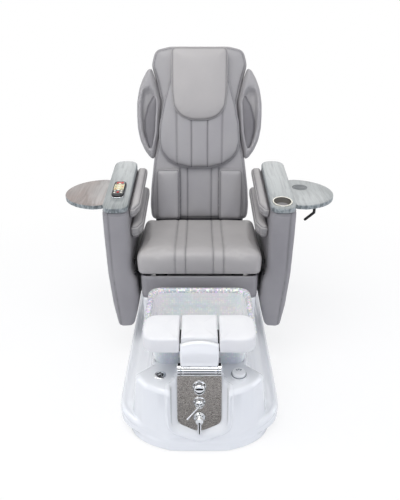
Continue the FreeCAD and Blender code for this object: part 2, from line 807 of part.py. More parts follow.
def on_taps(shape):
    """Move a shape from the tap plate's own frame into the chair."""
    shape.Placement = plate_frame.multiply(shape.Placement)
    return shape


def tap_round(along, diameter, low, high):
    return cylinder_shape(diameter, high - low, (0, along, low))


def turned(profile, along):
    """A round piece on a tap's axis from (radius, height) corners, the first and last on the axis."""
    points = [Vector(radius, 0, height) for radius, height in profile]
    face = Part.Face(Part.makePolygon(points + points[:1]))
    shape = face.revolve(Vector(0, 0, 0), Vector(0, 0, 1), 360)
    shape.translate(Vector(0, along, 0))
    return shape


spindle_top = 16
valve_low = mixer_along - 22
valve_high = diverter_along + 22
valve_block = box_shape((-26, valve_low, -58), (26, valve_high, -24))
for along in (mixer_along, diverter_along):
    valve_block = valve_block.fuse(tap_round(along, s.spindle_diameter, -24, spindle_top))


def tap_cap(diameter, rim, height, gap):
    """A turned tap cap with a bore over its spindle."""
    bore = s.spindle_diameter / 2 + gap
    low = s.plate_thickness + gap
    half = diameter / 2
    return [(bore, low), (half, low), (half, low + rim), (half - 6, low + rim + 5), (half - 8, height - 4),
            (half - 12, height), (0, height), (0, spindle_top + gap), (bore, spindle_top + gap)]


diverter_knob = shaped("diverter_knob", on_taps(turned(
    tap_cap(s.diverter_diameter, 6, 38, s.running_gap), diverter_along)))

dome_height = 34
ear_height = dome_height + 14
lever_pivot = dome_height + 8
lever_turn = 225
mixer_origin = FreeCAD.Placement(Vector(0, mixer_along, 0), FreeCAD.Rotation(Vector(0, 0, 1), lever_turn))
mixer_frame = plate_frame.multiply(mixer_origin)
dome = turned(tap_cap(s.mixer_diameter, 6, dome_height, s.running_gap), 0)
ear_gap = 5
for side in (-1, 1):
    near = ear_gap if side > 0 else -ear_gap - 4
    dome = dome.fuse(box_shape((-6, near, dome_height - 4), (6, near + 4, ear_height)))
dome = dome.cut(cylinder_shape(4, 40, (0, -20, lever_pivot), (0, 1, 0)))
dome = dome.fuse(cylinder_shape(4, 2 * ear_gap + 8, (0, -ear_gap - 4, lever_pivot), (0, 1, 0)))
dome.Placement = mixer_frame
mixer_dome = shaped("mixer_dome", dome)

lever_rise = math.radians(12)
lever_length = 68
lever = cylinder_shape(12, 2 * ear_gap - 1, (0, -ear_gap + 0.5, lever_pivot), (0, 1, 0))
lever_direction = (math.cos(lever_rise), 0, math.sin(lever_rise))
lever = lever.fuse(cylinder_shape(7, lever_length, (0, 0, lever_pivot), lever_direction))
lever = lever.fuse(Part.makeSphere(4.5, Vector(lever_length * lever_direction[0], 0,
                                              lever_pivot + lever_length * lever_direction[2])))
lever = lever.cut(cylinder_shape(4.6, 40, (0, -20, lever_pivot), (0, 1, 0)))
lever.Placement = mixer_frame
mixer_lever = shaped("mixer_lever", lever)

dock_height = 13
dock_bore = 16
dock = turned([(dock_bore / 2, -10), (s.spindle_diameter / 2, -10),
               (s.spindle_diameter / 2, s.plate_thickness),
               (s.sprayer_diameter / 2, s.plate_thickness), (s.sprayer_diameter / 2, 8),
               (s.sprayer_diameter / 2 - 5, dock_height), (dock_bore / 2, dock_height)], sprayer_along)
tap_bodies = shaped("tap_bodies", Part.makeCompound([on_taps(valve_block), on_taps(dock)]))

head_height = 42
hose_diameter = dock_bore - 1
neck = turned([(0, -62), (hose_diameter / 2, -62), (hose_diameter / 2, dock_height + 0.3),
               (15, dock_height + 0.3), (15, 18), (12.5, 20), (12.5, 22), (15, 24), (15, 27), (12.5, 29),
               (15, 32), (15, 39), (12, head_height), (0, head_height)], sprayer_along)
neck = on_taps(neck)
handle_top = on_plate(sprayer_along, 36)
handle_length = 56
handle_direction = Vector(0, -0.14, -1).normalize()
handle = cylinder_shape(15, handle_length, handle_top, handle_direction)
handle = handle.fuse(Part.makeSphere(7.5, handle_top + handle_direction * handle_length))
sprayer = shaped("sprayer", neck.fuse(handle))


# Deck controls
ring_bore = s.button_diameter - 6
button_ring = turned([(ring_bore / 2, -30), (s.button_diameter / 2, -30), (s.button_diameter / 2, 0),
                      (s.button_ring_diameter / 2, 0), (s.button_ring_diameter / 2 - 2, 5),
                      (ring_bore / 2, 5)], 0)
button_ring.translate(Vector(*deck_button, s.deck_height))
jet_button_ring = shaped("jet_button_ring", button_ring)
jet_button = keep(rod("jet_button_body", "button_diameter - 6 - running_gap * 2", "29 + button_travel",
                      (*deck_button, s.deck_height - 24)), "jet_button")

collar_top = s.selector_collar_height
collar = turned([(5.5, -30), (s.spindle_diameter / 2, -30), (s.spindle_diameter / 2, 0),
                 (s.selector_collar_diameter / 2, 0), (s.selector_collar_diameter / 2 - 2, collar_top),
                 (5.5, collar_top)], 0)
collar.translate(Vector(*deck_selector, s.deck_height))
selector_collar = shaped("selector_collar", collar)
selector_half = s.selector_diameter / 2
knob = turned([(0, -20), (5, -20), (5, collar_top + s.running_gap),
               (selector_half, collar_top + s.running_gap),
               (selector_half, collar_top + 10), (selector_half - 3, collar_top + 13),
               (0, collar_top + 13)], 0)
knob.translate(Vector(*deck_selector, s.deck_height))
selector_knob = shaped("selector_knob", knob)


# Footrest and its hinge
hinge_half = s.hinge_length / 2
cheek_inner = hinge_half - s.hinge_cap_length
hinge_y = depth(s.hinge_back)
bracket_front = s.plate_foot_depth + plate_length * math.sin(lean) + 2
bracket_back = bracket_front + 62
bracket_top = plate_top_height + 8


def hinge_bracket_shape():
    shape = box_shape((-hinge_half, depth(bracket_front), plate_top_height),
                      (hinge_half, depth(bracket_back), bracket_top))
    for side in (-1, 1):
        near = cheek_inner if side > 0 else -hinge_half
        cheek = cylinder_shape(s.hinge_barrel_diameter + 3, s.hinge_cap_length,
                               (near, hinge_y, hinge_height),
                               (1, 0, 0))
        web = box_shape((near, depth(bracket_front), plate_top_height),
                        (near + s.hinge_cap_length, depth(bracket_back - 8), hinge_height + 6))
        shape = shape.fuse([cheek, web])
    bore = cylinder_shape(s.hinge_pin_diameter + 0.1, s.hinge_length + 20,
                          (-hinge_half - 10, hinge_y, hinge_height),
                          (1, 0, 0))
    return shape.cut(bore)


hinge_bracket = shaped("hinge_bracket", hinge_bracket_shape())
hinge_pin = keep(rod("hinge_pin_body", "hinge_pin_diameter", "hinge_length",
                     (-hinge_half, hinge_y, hinge_height), (1, 0, 0)), "hinge_pin")

barrel_start = (-cheek_inner + s.running_gap, hinge_y, hinge_height)
barrel_tube = rod("barrel_tube", "hinge_barrel_diameter",
                  "hinge_length - 2 * hinge_cap_length - 2 * running_gap", barrel_start, (1, 0, 0))
barrel_bore = rod("barrel_bore", "hinge_pin_diameter + running_gap",
                  "hinge_length", (-hinge_half, hinge_y, hinge_height), (1, 0, 0))
hinge_barrel = keep(cut("hinge_barrel_body", barrel_tube, barrel_bore), "hinge_barrel")

footrest_back = s.footrest_front + s.footrest_depth
frame_top = footrest_underside
frame_low = frame_top - 5
housing_half = s.footrest_housing_width / 2
footrest_reach = s.footrest_centre_width / 2 + s.footrest_gap + s.footrest_side_width
plate_low = (-footrest_reach + 40, depth(s.footrest_front + 20), frame_low)
plate_high = (footrest_reach - 40, depth(footrest_back - 18), frame_top)
arm_web_front = s.hinge_back - s.hinge_barrel_diameter / 2 + 3
apron_half = s.footrest_centre_width / 2 + s.footrest_gap / 2
apron_depth = 13


def footrest_frame_shape():
    shape = box_shape(plate_low, plate_high)
    for side in (-40, 40):
        low = (side - 6, depth(arm_web_front), hinge_height)
        web = box_shape(low, (side + 6, depth(arm_web_front + 48), frame_low + 1))
        shape = shape.fuse(web)
    clear = cylinder_shape(s.hinge_barrel_diameter, 400, (-200, hinge_y, hinge_height), (1, 0, 0))
    return shape.cut(clear)


footrest_frame = shaped("footrest_frame", footrest_frame_shape())


def footrest_housing_shape():
    """The curved cover that runs from an arch over the middle pad's front down to the hinge."""
    low = hinge_height + s.hinge_barrel_diameter / 2 + 2
    front = s.footrest_front
    profile = [(front + 4, frame_low - 1), (front - 3, frame_low - 30), (front + 2, low + 16),
               (front + 14, low),
               (front + 60, low), (front + 72, low + 14), (front + 72, frame_low - 1)]
    points = [Vector(-housing_half, depth(back), height) for back, height in profile]
    outer = Part.Face(Part.makePolygon(points + points[:1])).extrude(Vector(2 * housing_half, 0, 0))
    wall = 5
    inner = box_shape((-housing_half + wall, depth(front + 10), low - 10),
                      (housing_half - wall, depth(front + 64), frame_low + 10))
    arch_top = footrest_underside + 52
    arch_radius = 178
    apron = box_shape((-apron_half, depth(front - 3), frame_low - 30),
                      (apron_half, depth(front + apron_depth - 2), arch_top))
    arch = cylinder_shape(2 * arch_radius, 60, (0, depth(front - 20), arch_top - arch_radius), (0, 1, 0))
    return outer.cut(inner).fuse(apron.common(arch))


footrest_housing = shaped("footrest_housing", footrest_housing_shape())

centre_half = s.footrest_centre_width / 2
side_inner = centre_half + s.footrest_gap
side_outer = side_inner + s.footrest_side_width
front_y = depth(s.footrest_front)
back_y = depth(footrest_back)
centre_front_y = depth(s.footrest_front + apron_depth)
centre_plan = [(-centre_half, centre_front_y, 4), (centre_half, centre_front_y, 4), (centre_half, back_y, 4),
               (-centre_half, back_y, 4)]
side_plan = [(side_inner, front_y, 5), (side_outer, front_y, 46), (side_outer, back_y, 46),
             (side_inner, back_y, 5)]


def footrest_pad_shape(plan):
    pad = cushion(plan, s.footrest_thickness, 14, 2)
    pad.translate(Vector(0, 0, footrest_underside))
    return pad


footrest_pad_centre = shaped("footrest_pad_centre", footrest_pad_shape(centre_plan))
side_pad = footrest_pad_shape(side_plan)
footrest_side_pads = shaped("footrest_side_pads", Part.makeCompound([side_pad, other_side(side_pad)]))


# Skirt and slide
skirt_top = s.pedestal_height + s.skirt_height


def skirt_shape():
    plan = rectangle_plan(s.pedestal_half_width, skirt_front, s.pivot_back + 60, 24)
    outer = prism(plan, s.pedestal_height, skirt_top)
    hollow = outer.cut(prism(plan, s.pedestal_height - 5, skirt_top + 5, s.skirt_wall))
    open_back = box_shape((-400, depth(s.pivot_back - 25), 0), (400, depth(s.pivot_back + 200), 900))
    return hollow.cut(open_back)


skirt = shaped("skirt", skirt_shape())

rail_inset = 40
rail_front = skirt_front + rail_inset
rail_length = s.pivot_back + s.rail_overrun - rail_front
rail_run = f"pivot_back + rail_overrun - bowl_front - bowl_length - skirt_gap - {rail_inset}"
rails = []
for side in (-1, 1):
    rails.append(block(f"rail_{'left' if side < 0 else 'right'}",
                       ("rail_width", rail_run, "rail_height - 8"),
                       (side * s.rail_side - s.rail_width / 2, depth(rail_front), s.pedestal_height)))
rail_pair = doc.addObject("Part::Compound", "rail_pair")
rail_pair.Links = rails
slide_rails = keep(rail_pair, "slide_rails")

carriage_low = s.pedestal_height + s.rail_height - 8 + s.running_gap
carriage_front = rail_front + s.slide_travel + 4
carriage_length = rail_length - s.slide_travel - 56
beam_top = s.seat_underside - 0.5
pan_top = s.seat_underside + 9
pan_half = s.seat_rear_half_width - 25
seat_rear = s.seat_front + s.seat_length


tube_anchor = Vector(0, depth(carriage_front + 22), carriage_low + 62)
trunnion_diameter = 10


def seat_carriage_shape():
    """Runner blocks, a cross plate, two beams, the seat board and the ears of the back's hinge."""
    rear = carriage_front + carriage_length
    shape = box_shape((-s.rail_side - 30, depth(carriage_front), carriage_low + 30),
                      (s.rail_side + 30, depth(rear), carriage_low + 38))
    shape = shape.cut(box_shape((-110, depth(carriage_front + 60), carriage_low + 20),
                                (110, depth(rear - 60), carriage_low + 50)))
    for side in (-s.rail_side, s.rail_side):
        for back in (carriage_front, rear - 60):
            shape = shape.fuse(box_shape((side - 28, depth(back), carriage_low),
                                         (side + 28, depth(back + 60), carriage_low + 30)))
        shape = shape.fuse(box_shape((side - 20, depth(carriage_front), carriage_low + 38),
                                     (side + 20, depth(rear), beam_top)))
    for side in (-1, 1):
        near = 24 if side > 0 else -30
        shape = shape.fuse(box_shape((near, depth(carriage_front), carriage_low + 38),
                                     (near + 6, depth(carriage_front + 44), beam_top - 4)))
    board = box_shape((-pan_half, depth(s.seat_front + 30), beam_top),
                      (pan_half, depth(seat_rear - 30), pan_top))
    shape = shape.fuse(board)
    anchor_bore = cylinder_shape(trunnion_diameter + 0.6, 80, tube_anchor - Vector(40, 0, 0), (1, 0, 0))
    shape = shape.cut(anchor_bore)
    pivot_lug_back = s.pivot_back + 16
    for side in (-1, 1):
        near = 198 if side > 0 else -210
        post = box_shape((near, depth(rear - 60), carriage_low + 30), (near + 12, depth(pivot_lug_back),
                                                                      carriage_low + 60))
        ear = box_shape((near, depth(s.pivot_back - 22), carriage_low + 30),
                        (near + 12, depth(pivot_lug_back),
                                                                              s.pivot_height))
        eye = cylinder_shape(44, 12, (near, depth(s.pivot_back), s.pivot_height), (1, 0, 0))
        shape = shape.fuse([post, ear, eye])
        stub_start = 182 if side > 0 else -210
        stub = cylinder_shape(s.pivot_diameter, 28, (stub_start, depth(s.pivot_back), s.pivot_height),
                              (1, 0, 0))
        shape = shape.fuse(stub)
    return shape


seat_carriage = shaped("seat_carriage", seat_carriage_shape())


# Seat
def seat_cushion_shape():
    """A crowned seat that narrows and falls to its rear, with four drawn seams."""
    front = depth(s.seat_front)
    back = depth(seat_rear)
    plan = [(s.seat_front_half_width, front, 30), (s.seat_rear_half_width, back, 34),
            (-s.seat_rear_half_width, back, 34), (-s.seat_front_half_width, front, 30)]
    height = s.seat_underside + s.seat_thickness - pan_top
    fall = math.degrees(math.atan(s.seat_fall / s.seat_length))
    seat = cushion(plan, height, 34, 8, fall=fall)
    for side in (-113, -64, 64, 113):
        seam = box_shape((side - 1.5, front - 20, height - 5), (side + 1.5, back + 20, height + 20))
        seam.rotate(Vector(0, front, height), Vector(1, 0, 0), -fall)
        seat = seat.cut(seam)
    seat.translate(Vector(0, 0, pan_top))
    return seat


seat_cushion = shaped("seat_cushion", seat_cushion_shape())


# Black side frames that carry the arms
frame_outer = s.arm_inner - 12
frame_front = s.arm_front + 60
frame_back = s.arm_front + s.arm_length - 60


def side_frame_shape():
    """A foot under the seat, a wall and spacer that hold the arm, and a cover plate beside the skirt."""
    low = s.seat_underside - 0.5
    foot = box_shape((s.seat_rear_half_width - 25, depth(frame_front), low),
                     (frame_outer, depth(frame_back), low + 6))
    wall = box_shape((frame_outer - 6, depth(frame_front), low), (frame_outer, depth(frame_back), low + 48))
    spacer = box_shape((frame_outer, depth(frame_front + 40), low + 12),
                       (s.arm_inner, depth(frame_back - 40), low + 42))
    cover_side = s.pedestal_half_width + 8
    cover = box_shape((cover_side, depth(frame_front), s.pedestal_height + 8),
                      (cover_side + 5, depth(frame_back - 100), low + 1))
    knob_side = frame_outer
    knob_place = (knob_side, depth(frame_front - 10), low - 6)
    knob = cylinder_shape(22, 9, knob_place, (1, 0, 0))
    bolt = box_shape((frame_outer - 6, depth(frame_front - 14), low - 10),
                     (frame_outer, depth(frame_front), low + 6))
    return foot.fuse([wall, spacer, cover, knob, bolt])


side_frames = shaped("side_frames", Part.makeCompound([side_frame_shape(), other_side(side_frame_shape())]))


# Arms; the cap climbs to the rear
arm_rear = s.arm_front + s.arm_length
cap_slope = math.atan(s.arm_cap_rise / s.arm_length)
cap_under = s.arm_cap_front_height - s.arm_cap_thickness
cap_frame = FreeCAD.Placement(Vector(0, depth(s.arm_front), cap_under),
                              FreeCAD.Rotation(Vector(1, 0, 0), math.degrees(cap_slope)))
cap_length = s.arm_length / math.cos(cap_slope)
cup_side = (s.arm_cap_inner + s.arm_outer) / 2 + 2
cup_along = (s.cup_holder_back - s.arm_front) / math.cos(cap_slope)
remote_along = (s.remote_back - s.arm_front) / math.cos(cap_slope)


def on_cap(shape):
    """Move a shape from the cap's own frame (across, along, up from its underside) into the chair."""
    shape.Placement = cap_frame.multiply(shape.Placement)
    return shape


def arm_profile(inset):
    """The arm seen from the front: straight at the seat, swelling below it, narrowing to its foot."""
    bulge_high = s.seat_underside - 42
    return [(s.arm_inner + inset, 1000), (s.arm_inner + inset, bulge_high + 16),
            (s.arm_inner - 24 + inset, bulge_high - 90), (s.arm_inner + 10 + inset, s.arm_foot_height + 60),
            (s.arm_foot_inner + inset, s.arm_foot_height + 6 + inset),
            (s.arm_foot_inner + 24, s.arm_foot_height + inset), (s.arm_foot_outer - inset,
                                                                 s.arm_foot_height + 10 + inset),
            (s.arm_outer - 6 - inset, s.seat_underside), (s.arm_outer - inset, 760), (s.arm_outer - inset,
                                                                                      1000)]


def arm_block(inset):
    front = depth(s.arm_front + 6 + inset)
    points = [Vector(across, front, height) for across, height in arm_profile(inset)]
    body = Part.Face(Part.makePolygon(points + points[:1])).extrude(Vector(0,
                                                                           s.arm_length - 12 - 2 * inset, 0))
    above = on_cap(box_shape((-600, -300, -inset), (600, 900, 900)))
    body = body.cut(above)
    foot_cut = [(s.arm_front - 40, s.arm_foot_height - 50),
                (s.arm_front - 40, s.arm_foot_height + 2 + inset),
                (s.arm_front + 60, s.arm_foot_height - 20 + inset), (arm_rear + 40,
                                                                     s.arm_foot_height + 60 + inset),
                (arm_rear + 40, s.arm_foot_height - 50)]
    points = [Vector(250, depth(back), height) for back, height in foot_cut]
    wedge = Part.Face(Part.makePolygon(points + points[:1])).extrude(Vector(300, 0, 0))
    return body.cut(wedge)


def arm_shell_shape():
    return arm_block(0).cut(arm_block(9))


cup_well = cylinder_shape(s.cup_bore_diameter + 5, s.cup_depth + 40,
                          (cup_side, cup_along, -s.cup_depth - 14))
arm_shell_right = shaped("arm_shell_right", arm_shell_shape().cut(on_cap(cup_well)))
arm_shell_left = shaped("arm_shell_left", other_side(arm_shell_shape()))

cap_plan = [(s.arm_cap_inner, 0, 40), (s.arm_outer - 5, 0, 40), (s.arm_outer - 5, cap_length, 40),
            (s.arm_cap_inner, cap_length, 40)]


def arm_cap_shape():
    rings = [ring(cap_plan, 0, 3, 6), ring(cap_plan, 3, 0, 6), ring(cap_plan, s.arm_cap_thickness - 4, 0, 6),
             ring(cap_plan, s.arm_cap_thickness, 4, 6)]
    return on_cap(faceted(rings))


cup_hole = on_cap(cylinder_shape(s.cup_bore_diameter + 5, 80, (cup_side, cup_along, -20)))
arm_cap_right = shaped("arm_cap_right", arm_cap_shape().cut(cup_hole))
arm_cap_left = shaped("arm_cap_left", other_side(arm_cap_shape()))

cup_top = s.arm_cap_thickness + 3
cup_outer = s.cup_bore_diameter / 2 + 1.5
cup_low = cup_top - s.cup_depth - 2
cup = turned([(0, cup_low), (cup_outer, cup_low), (cup_outer, s.arm_cap_thickness + 0.1),
              (s.cup_holder_diameter / 2, s.arm_cap_thickness + 0.1), (s.cup_holder_diameter / 2 - 1,
                                                                       cup_top),
              (s.cup_bore_diameter / 2, cup_top), (s.cup_bore_diameter / 2, cup_low + 2), (0,
                                                                                           cup_low + 2)], 0)
cup.translate(Vector(cup_side, cup_along, 0))
cup_holder = shaped("cup_holder", on_cap(cup))

remote_half = s.remote_width / 2
remote_start = remote_along - s.remote_length / 2
remote_end = remote_along + s.remote_length / 2
remote_plan = [(-cup_side - remote_half, remote_start, 24), (-cup_side + remote_half, remote_start, 24),
               (-cup_side + remote_half, remote_end, 24), (-cup_side - remote_half, remote_end, 24)]
key_depth = 4
key_places = [(-cup_side, remote_along - 42 + 21 * step) for step in range(5)]
key_places = key_places[1:]
power_place = (-cup_side, remote_along - 42)
remote_base = s.arm_cap_thickness + 0.1
remote_top = remote_base + s.remote_thickness


def remote_shape():
    shape = faceted([ring(remote_plan, remote_base, 2), ring(remote_plan, remote_base + 3),
                     ring(remote_plan, remote_top - 3), ring(remote_plan, remote_top, 3)])
    for across, along in [power_place] + key_places:
        shape = shape.cut(cylinder_shape(13, key_depth + 1, (across, along, remote_top - key_depth)))
    return on_cap(shape)


remote = shaped("remote", remote_shape())


def key_shape(across, along):
    return on_cap(cylinder_shape(12, key_depth, (across, along, remote_top - key_depth + 1.6)))


remote_power_key = shaped("remote_power_key", key_shape(*power_place))
remote_keys = shaped("remote_keys", Part.makeCompound([key_shape(*place) for place in key_places]))


# Arm massage pads, two on each arm with a slot for the forearm between them
def arm_pad_shape(top, thickness, inner, pad_back):
    """A pad on the arm's inner side, parallel to the cap, its front corner rounded."""
    front = (s.pad_front - s.arm_front) / math.cos(cap_slope)
    back = (pad_back - s.arm_front) / math.cos(cap_slope)
    outer = s.arm_inner - 0.1
    plan = [(inner, front, 40), (outer, front, 3), (outer, back, 3), (inner, back, 12)]
    wires = []
    for share, inset in ((0, 5), (0.2, 1), (0.5, 0), (0.8, 1), (1, 5)):
        wires.append(section(plan, top - thickness * (1 - share), inset))
    return on_cap(lofted(wires, True))


lower_pad_top = -s.upper_pad_thickness - s.forearm_slot
upper_pad = arm_pad_shape(-0.2, s.upper_pad_thickness, s.pad_inner, arm_rear - 14)
lower_pad = arm_pad_shape(lower_pad_top, s.lower_pad_thickness, s.pad_inner - 8, s.back_foot_back - 8)
arm_pads_right = shaped("arm_pads_right", Part.makeCompound([upper_pad, lower_pad]))
arm_pads_left = shaped("arm_pads_left", Part.makeCompound([other_side(upper_pad), other_side(lower_pad)]))


# Side trays that swing out on a post by the arm
tray_low = s.tray_top - s.tray_thickness
post_side = s.tray_inner_side + 36
post_back = s.tray_centre_back + 155
shoulder_low = tray_low - 14


def tray_shape():
    disc = cylinder_shape(2 * s.tray_radius, s.tray_thickness,
                          (s.tray_centre_side, depth(s.tray_centre_back), tray_low))
    reach = s.tray_radius + 10
    inside = box_shape((s.tray_centre_side - reach, depth(s.tray_centre_back - reach), tray_low - 5),
                       (s.tray_inner_side, depth(s.tray_centre_back + reach), s.tray_top + 5))
    shape = disc.cut(inside)
    uprights = [edge for edge in shape.Edges
                if abs(edge.BoundBox.XLength) < 1e-6 and edge.BoundBox.ZLength > 5
                and edge.BoundBox.YLength < 1e-6 and edge.BoundBox.XMin < s.tray_inner_side + 1]
    shape = shape.makeFillet(26, uprights)
    bore = cylinder_shape(s.tray_post_diameter + 2 * s.running_gap, 11,
                          (post_side, depth(post_back), tray_low - 1))
    return shape.cut(bore)


def tray_bracket_shape():
    wall = box_shape((s.arm_outer, depth(post_back - 34), shoulder_low - 60),
                     (s.arm_outer + 6, depth(post_back + 34),
                                                                               shoulder_low))
    ledge = box_shape((s.arm_outer, depth(post_back - 24), shoulder_low - 12),
                      (post_side + 22, depth(post_back + 24),
                                                                               shoulder_low))
    collar = cylinder_shape(42, 13.5, (post_side, depth(post_back), shoulder_low))
    post = cylinder_shape(s.tray_post_diameter, 22.5, (post_side, depth(post_back), shoulder_low))
    return wall.fuse([ledge, collar, post])


tray_right = shaped("tray_right", tray_shape())
tray_left = shaped("tray_left", other_side(tray_shape()))
tray_bracket_pair = [tray_bracket_shape(), other_side(tray_bracket_shape())]
tray_brackets = shaped("tray_brackets", Part.makeCompound(tray_bracket_pair))

lever_place = Vector(541, depth(733), tray_low - 0.3)


def tray_lever_shape():
    """A bent black lever: a round foot, a stem down, a bend and a grip towards the arm."""
    foot = cylinder_shape(30, 5, lever_place - Vector(0, 0, 5))
    stem = cylinder_shape(13, 40, lever_place - Vector(0, 0, 42))
    elbow = Part.makeSphere(6.5, lever_place - Vector(0, 0, 42))
    grip_direction = Vector(-39, 0, -35).normalize()
    grip = cylinder_shape(13, 52, lever_place - Vector(0, 0, 42), grip_direction)
    end = Part.makeSphere(6.5, lever_place - Vector(0, 0, 42) + grip_direction * 52)
    return foot.fuse([stem, elbow, grip, end])


tray_lever = shaped("tray_lever", tray_lever_shape())


# Backrest, in its own frame: across, up along its lean, and out of its face
back_frame_place = FreeCAD.Placement(Vector(0, depth(s.back_foot_back), s.back_foot_height),
                                     FreeCAD.Rotation(Vector(1, 0, 0), 90 - s.back_lean))
# Right-hand corners of the outlines: across, up, radius
BACK_SIDE = ((262, -18, 30), (268, 60, 60), (262, 160, 80), (243, 305, 80), (212, 442, 80), (200, 600, 60),
             (226, 711, 50), (247, 782, 40), (225, 850, 24), (150, 874, 40))
BIB_SIDE = ((60, 263, 40), (125, 279, 50), (171, 306, 50), (203, 348, 50), (215, 399, 60), (210, 490, 80),
            (188, 594, 80), (152, 718, 60), (140, 850, 30))
PILLOW_SIDE = ((60, 509, 60), (116, 545, 60), (145, 620, 80), (144, 868, 30))
WING_OUTSIDE = ((262, 316, 24), (290, 350, 40), (312, 399, 50), (323, 455, 70), (324, 507, 80),
                (320, 556, 80),
                (311, 622, 80), (292, 675, 50), (266, 715, 20))
LUMBAR = ((104, -16, 10), (232, -16, 40), (232, 262, 40), (104, 262, 10))
cushion_back = -s.back_cushion_thickness
face_level = -36
bib_thickness = 36
pillow_thickness = 22


def on_back(shape):
    """Move a shape from the backrest's own frame into the chair."""
    shape.Placement = back_frame_place.multiply(shape.Placement)
    return shape


def in_back_frame(distance_behind_lip, height):
    """Up and out along the backrest for a place on the chair's middle plane."""
    local = back_frame_place.inverse().multVec(Vector(0, depth(distance_behind_lip), height))
    return local.y, local.z


def raised(shape, level):
    shape.translate(Vector(0, 0, level))
    return shape


def back_shell_shape():
    plan = mirrored(BACK_SIDE)
    levels = ((cushion_back, 3), (cushion_back - 48, 7), (cushion_back - 84, 26), (-s.back_shell_depth, 56))
    outer = faceted([ring(plan, level, inset) for level, inset in levels])
    wall = s.back_shell_wall
    inner_levels = [(cushion_back + 1, 3 + wall)] + [(level + wall, inset + wall) for level,
                                                     inset in levels[1:]]
    inner = faceted([ring(plan, level, inset) for level, inset in inner_levels])
    slot = box_shape((-215, -60, -s.back_shell_depth + 30), (215, 6, cushion_back + 5))
    return outer.cut(inner).cut(slot)


back_shell = shaped("back_shell", on_back(back_shell_shape()))


def back_cushion_shape():
    shape = cushion(mirrored(BACK_SIDE), face_level - cushion_back, 22, 6)
    for across in (-104, -64, 64, 104):
        shape = shape.cut(box_shape((across - 1.5, -40, face_level - cushion_back - 4),
                                    (across + 1.5, 255, face_level - cushion_back + 20)))
    return on_back(raised(shape, cushion_back))


back_cushion = shaped("back_cushion", back_cushion_shape())


def bib_cushion_shape():
    shape = cushion(mirrored(BIB_SIDE), bib_thickness, 14, 5)
    for across in (-118, -42, 42, 118):
        shape = shape.cut(box_shape((across - 1.5, 240, bib_thickness - 5),
                                    (across + 1.5, 560, bib_thickness + 20)))
    return on_back(raised(shape, face_level))


bib_cushion = shaped("bib_cushion", bib_cushion_shape())
pillow = cushion(mirrored(PILLOW_SIDE), pillow_thickness, 10, 4)
headrest_pillow = shaped("headrest_pillow", on_back(raised(pillow, face_level + bib_thickness)))


def wing_shape():
    """The shoulder massage wing beside the backrest."""
    inside = [(across + 0.6, along, radius) for across, along, radius in BACK_SIDE if 442 <= along <= 600]
    low = [(243.5, 306, 8)]
    high = [(231, 724, 6)]
    plan = low + list(WING_OUTSIDE) + high + inside[::-1]
    return cushion(plan, 78, 16, 3, 0.5)


wing = on_back(raised(wing_shape(), cushion_back))
wing_right = shaped("wing_right", wing)
wing_left = shaped("wing_left", other_side(wing))

lumbar = on_back(raised(cushion(list(LUMBAR), 40, 18, 3), face_level))
lumbar_pads = shaped("lumbar_pads", Part.makeCompound([lumbar, other_side(lumbar)]))


# Steel frame of the backrest, with its massage carriage
pivot_up, pivot_out = in_back_frame(s.pivot_back, s.pivot_height)
lug_drop = 70
lug_up, lug_out = in_back_frame(s.pivot_back, s.pivot_height - lug_drop)
frame_out = cushion_back - 34
tube_diameter = 25
tube_side = 170
rail_side_out = 104
massage_rail_diameter = 14
eye_low = 185.5
eye_high = 196.5
cross_up = pivot_up - 16
cross_out = pivot_out - 56


def along_back(diameter, side, out, low, high):
    return cylinder_shape(diameter, high - low, (side, low, out), (0, 1, 0))


def across_back(diameter, up, out, reach):
    return cylinder_shape(diameter, 2 * reach, (-reach, up, out), (1, 0, 0))


def back_frame_shape():
    shape = across_back(tube_diameter, 40, frame_out, eye_low + 2)
    shape = shape.fuse(across_back(tube_diameter, 760, frame_out, tube_side - 6))
    for side in (-1, 1):
        shape = shape.fuse(along_back(tube_diameter, side * tube_side, frame_out, 10, 780))
        shape = shape.fuse(along_back(massage_rail_diameter, side * rail_side_out, frame_out, 40, 760))
        for up in (90, 420):
            strip = box_shape((side * tube_side - 12, up, frame_out),
                              (side * tube_side + 12, up + 280, cushion_back))
            shape = shape.fuse(strip)
        near = eye_low if side > 0 else -eye_high
        far = near + eye_high - eye_low
        lower = box_shape((near, pivot_up - 22, frame_out - 12), (far, -19, pivot_out))
        upper = box_shape((near, -20, frame_out - 12), (far, 70, frame_out + 12))
        eye = cylinder_shape(44, eye_high - eye_low, (near, pivot_up, pivot_out), (1, 0, 0))
        shape = shape.fuse([lower, upper, eye])
        lug_near = 10 if side > 0 else -16
        lug_points = [(cross_up - 8, cross_out - 8), (cross_up + 8, cross_out + 8),
                      (lug_up + 8, lug_out + 10),
                      (lug_up - 10, lug_out + 6), (lug_up - 10, lug_out - 8)]
        points = [Vector(lug_near, up, out) for up, out in lug_points]
        lug = Part.Face(Part.makePolygon(points + points[:1])).extrude(Vector(6, 0, 0))
        shape = shape.fuse(lug)
    shape = shape.fuse(across_back(tube_diameter, cross_up, cross_out, eye_high - 0.5))
    shape = shape.fuse(across_back(8, lug_up, lug_out, 16))
    shape = shape.cut(across_back(s.pivot_diameter + 0.2, pivot_up, pivot_out, 260))
    return on_back(shape)


back_frame = shaped("back_frame", back_frame_shape())

massage_up = 250
carriage_half = 130


def massage_carriage_shape():
    """The block that climbs the two rails, with four kneading balls facing the cushion."""
    shape = box_shape((-carriage_half, massage_up - 45, frame_out - 18),
                      (carriage_half, massage_up + 45, frame_out + 12))
    for side in (-1, 1):
        shape = shape.cut(along_back(massage_rail_diameter + 1, side * rail_side_out, frame_out, 0, 800))
        for offset in (-26, 26):
            ball = Part.makeSphere(21, Vector(side * 48, massage_up + offset, frame_out + 11))
            shape = shape.fuse(ball)
    return on_back(shape)


massage_carriage = shaped("massage_carriage", massage_carriage_shape())


